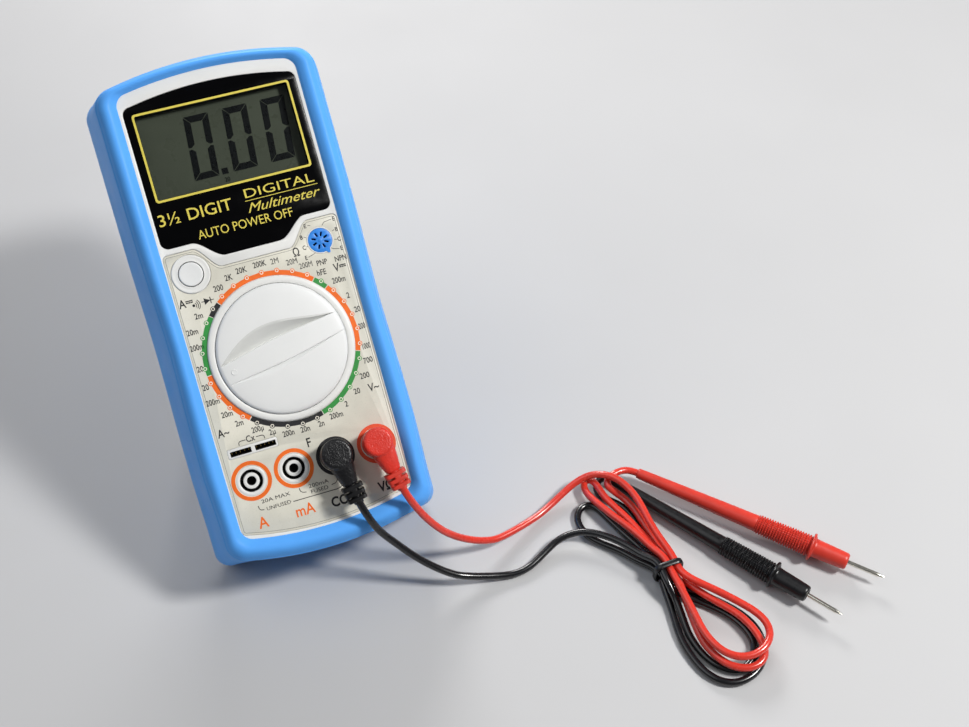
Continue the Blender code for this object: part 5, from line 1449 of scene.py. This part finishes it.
stand = Shape()
outline = []
foot_r = 4.0
half = STAND_HALF
low = long_ - 0.0
left_edge = [(-half, 1.2), (-half, low - foot_r - 1.0)]
pts = [(-half, 0.9)]
for i in range(7):
    a = PI + 0.5 * PI * i / 6
    pts.append((-half + foot_r + foot_r * math.cos(a), low - 0.9 - foot_r - foot_r * math.sin(a)))
for i in range(7):
    a = 1.5 * PI + 0.5 * PI * i / 6
    pts.append((half - foot_r + foot_r * math.cos(a), low - 0.9 - foot_r - foot_r * math.sin(a)))
pts.append((half, 0.9))
window = rounded(-19.0, 19.0, 14.0, 62.0, 3.0, 6)
verts, faces = plate([pts, window], -STAND_THICK / 2, STAND_THICK / 2, 0.5, 0.4)
stand.add(([stand_point(x, y, w) for x, y, w in verts], faces), WHITE_BACK)
rib_loop = rounded(-25.4, 25.4, 4.5, 67.0, 2.5, 5)
inner_loop = rounded(-24.2, 24.2, 5.7, 65.8, 2.0, 5)
verts, faces = plate([rib_loop, inner_loop], 0.8, 2.1, 0.3, 0.3)
stand.add(([stand_point(x, y, w) for x, y, w in verts], faces), WHITE_BACK)
barrel = turned(
    stand_point(-half, 0, 0), (1, 0, 0), ((0, 1.2), (0.3, 1.55), (2 * half - 0.3, 1.55), (2 * half, 1.2)), 32
)
stand.add(barrel, WHITE_BACK)
pivots = turned(
    stand_point(-half - 2.6, 0, 0), (1, 0, 0), ((0, 0.9), (0.3, 1.2), (2 * half + 4.9, 1.2), (2 * half + 5.2, 0.9)), 24
)
stand.add(pivots, WHITE_BACK)
stand.build("stand_leg", "stand", ["tilt_stand"], "case_plastic", world=True)

# ------------------------------------------------------------------ rear case
rear = Shape()
door = rounded(-27.0, 27.0, 38.0, 100.0, 3.0, 8)
for k in range(6):
    v = -30.0 - 3.4 * k
    rear.add(plate([rounded(-17, 17, v - 0.7, v + 0.7, 0.65, 5)], CASE_BACK_W - 0.45, CASE_BACK_W + 0.3, 0.0), WHITE_BACK)
blank = rounded(-21.0, 21.0, -14.0, 18.0, 1.5, 5)
verts, faces = plate([blank, offset(blank, -0.6)], 0.0, 0.35, 0.12, 0.1)
rear.add(([(u, v, CASE_BACK_W + 0.15 - w) for u, v, w in verts], faces), WHITE_BACK)
rear.build("rear_grip_ribs", "meter_body", (), "case_plastic")

# ------------------------------------------------------------------ carried CAD nodes
FINISH = {
    "rear_case": WHITE_BACK,
    "main_pcb": BOARD,
    "lcd_glass": LCD_BACK,
    "lcd_frame": BLACK,
    "zebra_strip": ZEBRA,
    "converter_ic": BLACK,
    "buzzer_disc": BRASS,
    "fuse": FUSE_GLASS,
    "fuse_clip": BRASS,
    "shunt_wire": NICKEL,
    "battery_9v": BATTERY,
    "battery_snap": BLACK,
    "battery_wire_red": RED_LEAD,
    "battery_wire_black": BLACK_LEAD,
    "power_switch": BLACK,
    "power_return_spring": STEEL,
    "selector_rotor": BLACK,
    "contact_wiper": BRASS,
    "detent": STEEL,
    "case_screw": STEEL,
    "pcb_screw": STEEL,
}
for name, node in NODES.items():
    for prefix, mat in FINISH.items():
        if name.startswith(prefix):
            node.data.materials.clear()
            node.data.materials.append(mat)
bpy.data.objects.remove(FONT_OBJ, do_unlink=True)

# ------------------------------------------------------------------ stage
floor_mat = surface("studio_floor", srgb(188, 188, 189), 0.6, 0.02, 260, 1.2, 0.01, 0.05, specular=0.3)
mesh = bpy.data.meshes.new("floor")
mesh.from_pydata([(-4, -4, 0), (4, -4, 0), (4, 4, 0), (-4, 4, 0)], [], [[0, 1, 2, 3]])
mesh.materials.append(floor_mat)
floor = bpy.data.objects.new("floor", mesh)
bpy.context.scene.collection.objects.link(floor)
floor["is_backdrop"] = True

world = bpy.data.worlds.new("studio")
bpy.context.scene.world = world
world.use_nodes = True
world.node_tree.nodes["Background"].inputs["Color"].default_value = (0.93, 0.95, 1.0, 1)
world.node_tree.nodes["Background"].inputs["Strength"].default_value = 0.15


def softbox(name, place, aim, size_x, size_y, power, colour=(1, 1, 1)):
    data = bpy.data.lights.new(name, "AREA")
    data.shape = "RECTANGLE"
    data.size, data.size_y = size_x, size_y
    data.energy = power
    data.color = colour
    lamp = bpy.data.objects.new(name, data)
    lamp.location = place
    lamp.rotation_mode = "QUATERNION"
    lamp.rotation_quaternion = (Vector(aim) - Vector(place)).to_track_quat("-Z", "Y")
    bpy.context.scene.collection.objects.link(lamp)


middle = (0.03, 0.0, 0.05)
softbox("key", (0.74, -0.36, 0.96), middle, 0.2, 0.2, 13.4, (1.0, 0.99, 0.97))
softbox("back", (0.24, 1.05, 0.62), middle, 0.4, 0.3, 9.0, (1.0, 0.99, 0.98))
haze = bpy.data.lights.new("haze", "SUN")
haze.energy, haze.angle, haze.color = 0.6, deg(50), (0.96, 0.98, 1.0)
lamp = bpy.data.objects.new("haze", haze)
lamp.rotation_mode = "QUATERNION"
lamp.rotation_quaternion = Vector((0.6, -0.2, -1.0)).to_track_quat("-Z", "Y")
bpy.context.scene.collection.objects.link(lamp)

camera = bpy.data.cameras.new("camera")
camera.sensor_width = 36.0
camera.lens = 1282.39 / 969 * 36.0
camera.clip_start, camera.clip_end = 0.05, 20
camera.shift_x, camera.shift_y = -0.4 / 969, 0.6 / 969
cam = bpy.data.objects.new("camera", camera)
cam.location = (-0.0379, -0.2970, 0.4784)
cam.rotation_euler = (deg(38.69), 0.0, deg(-20.52))
bpy.context.scene.collection.objects.link(cam)
bpy.context.scene.camera = cam
bpy.context.scene.view_settings.view_transform = "Standard"
bpy.context.scene.view_settings.look = "None"

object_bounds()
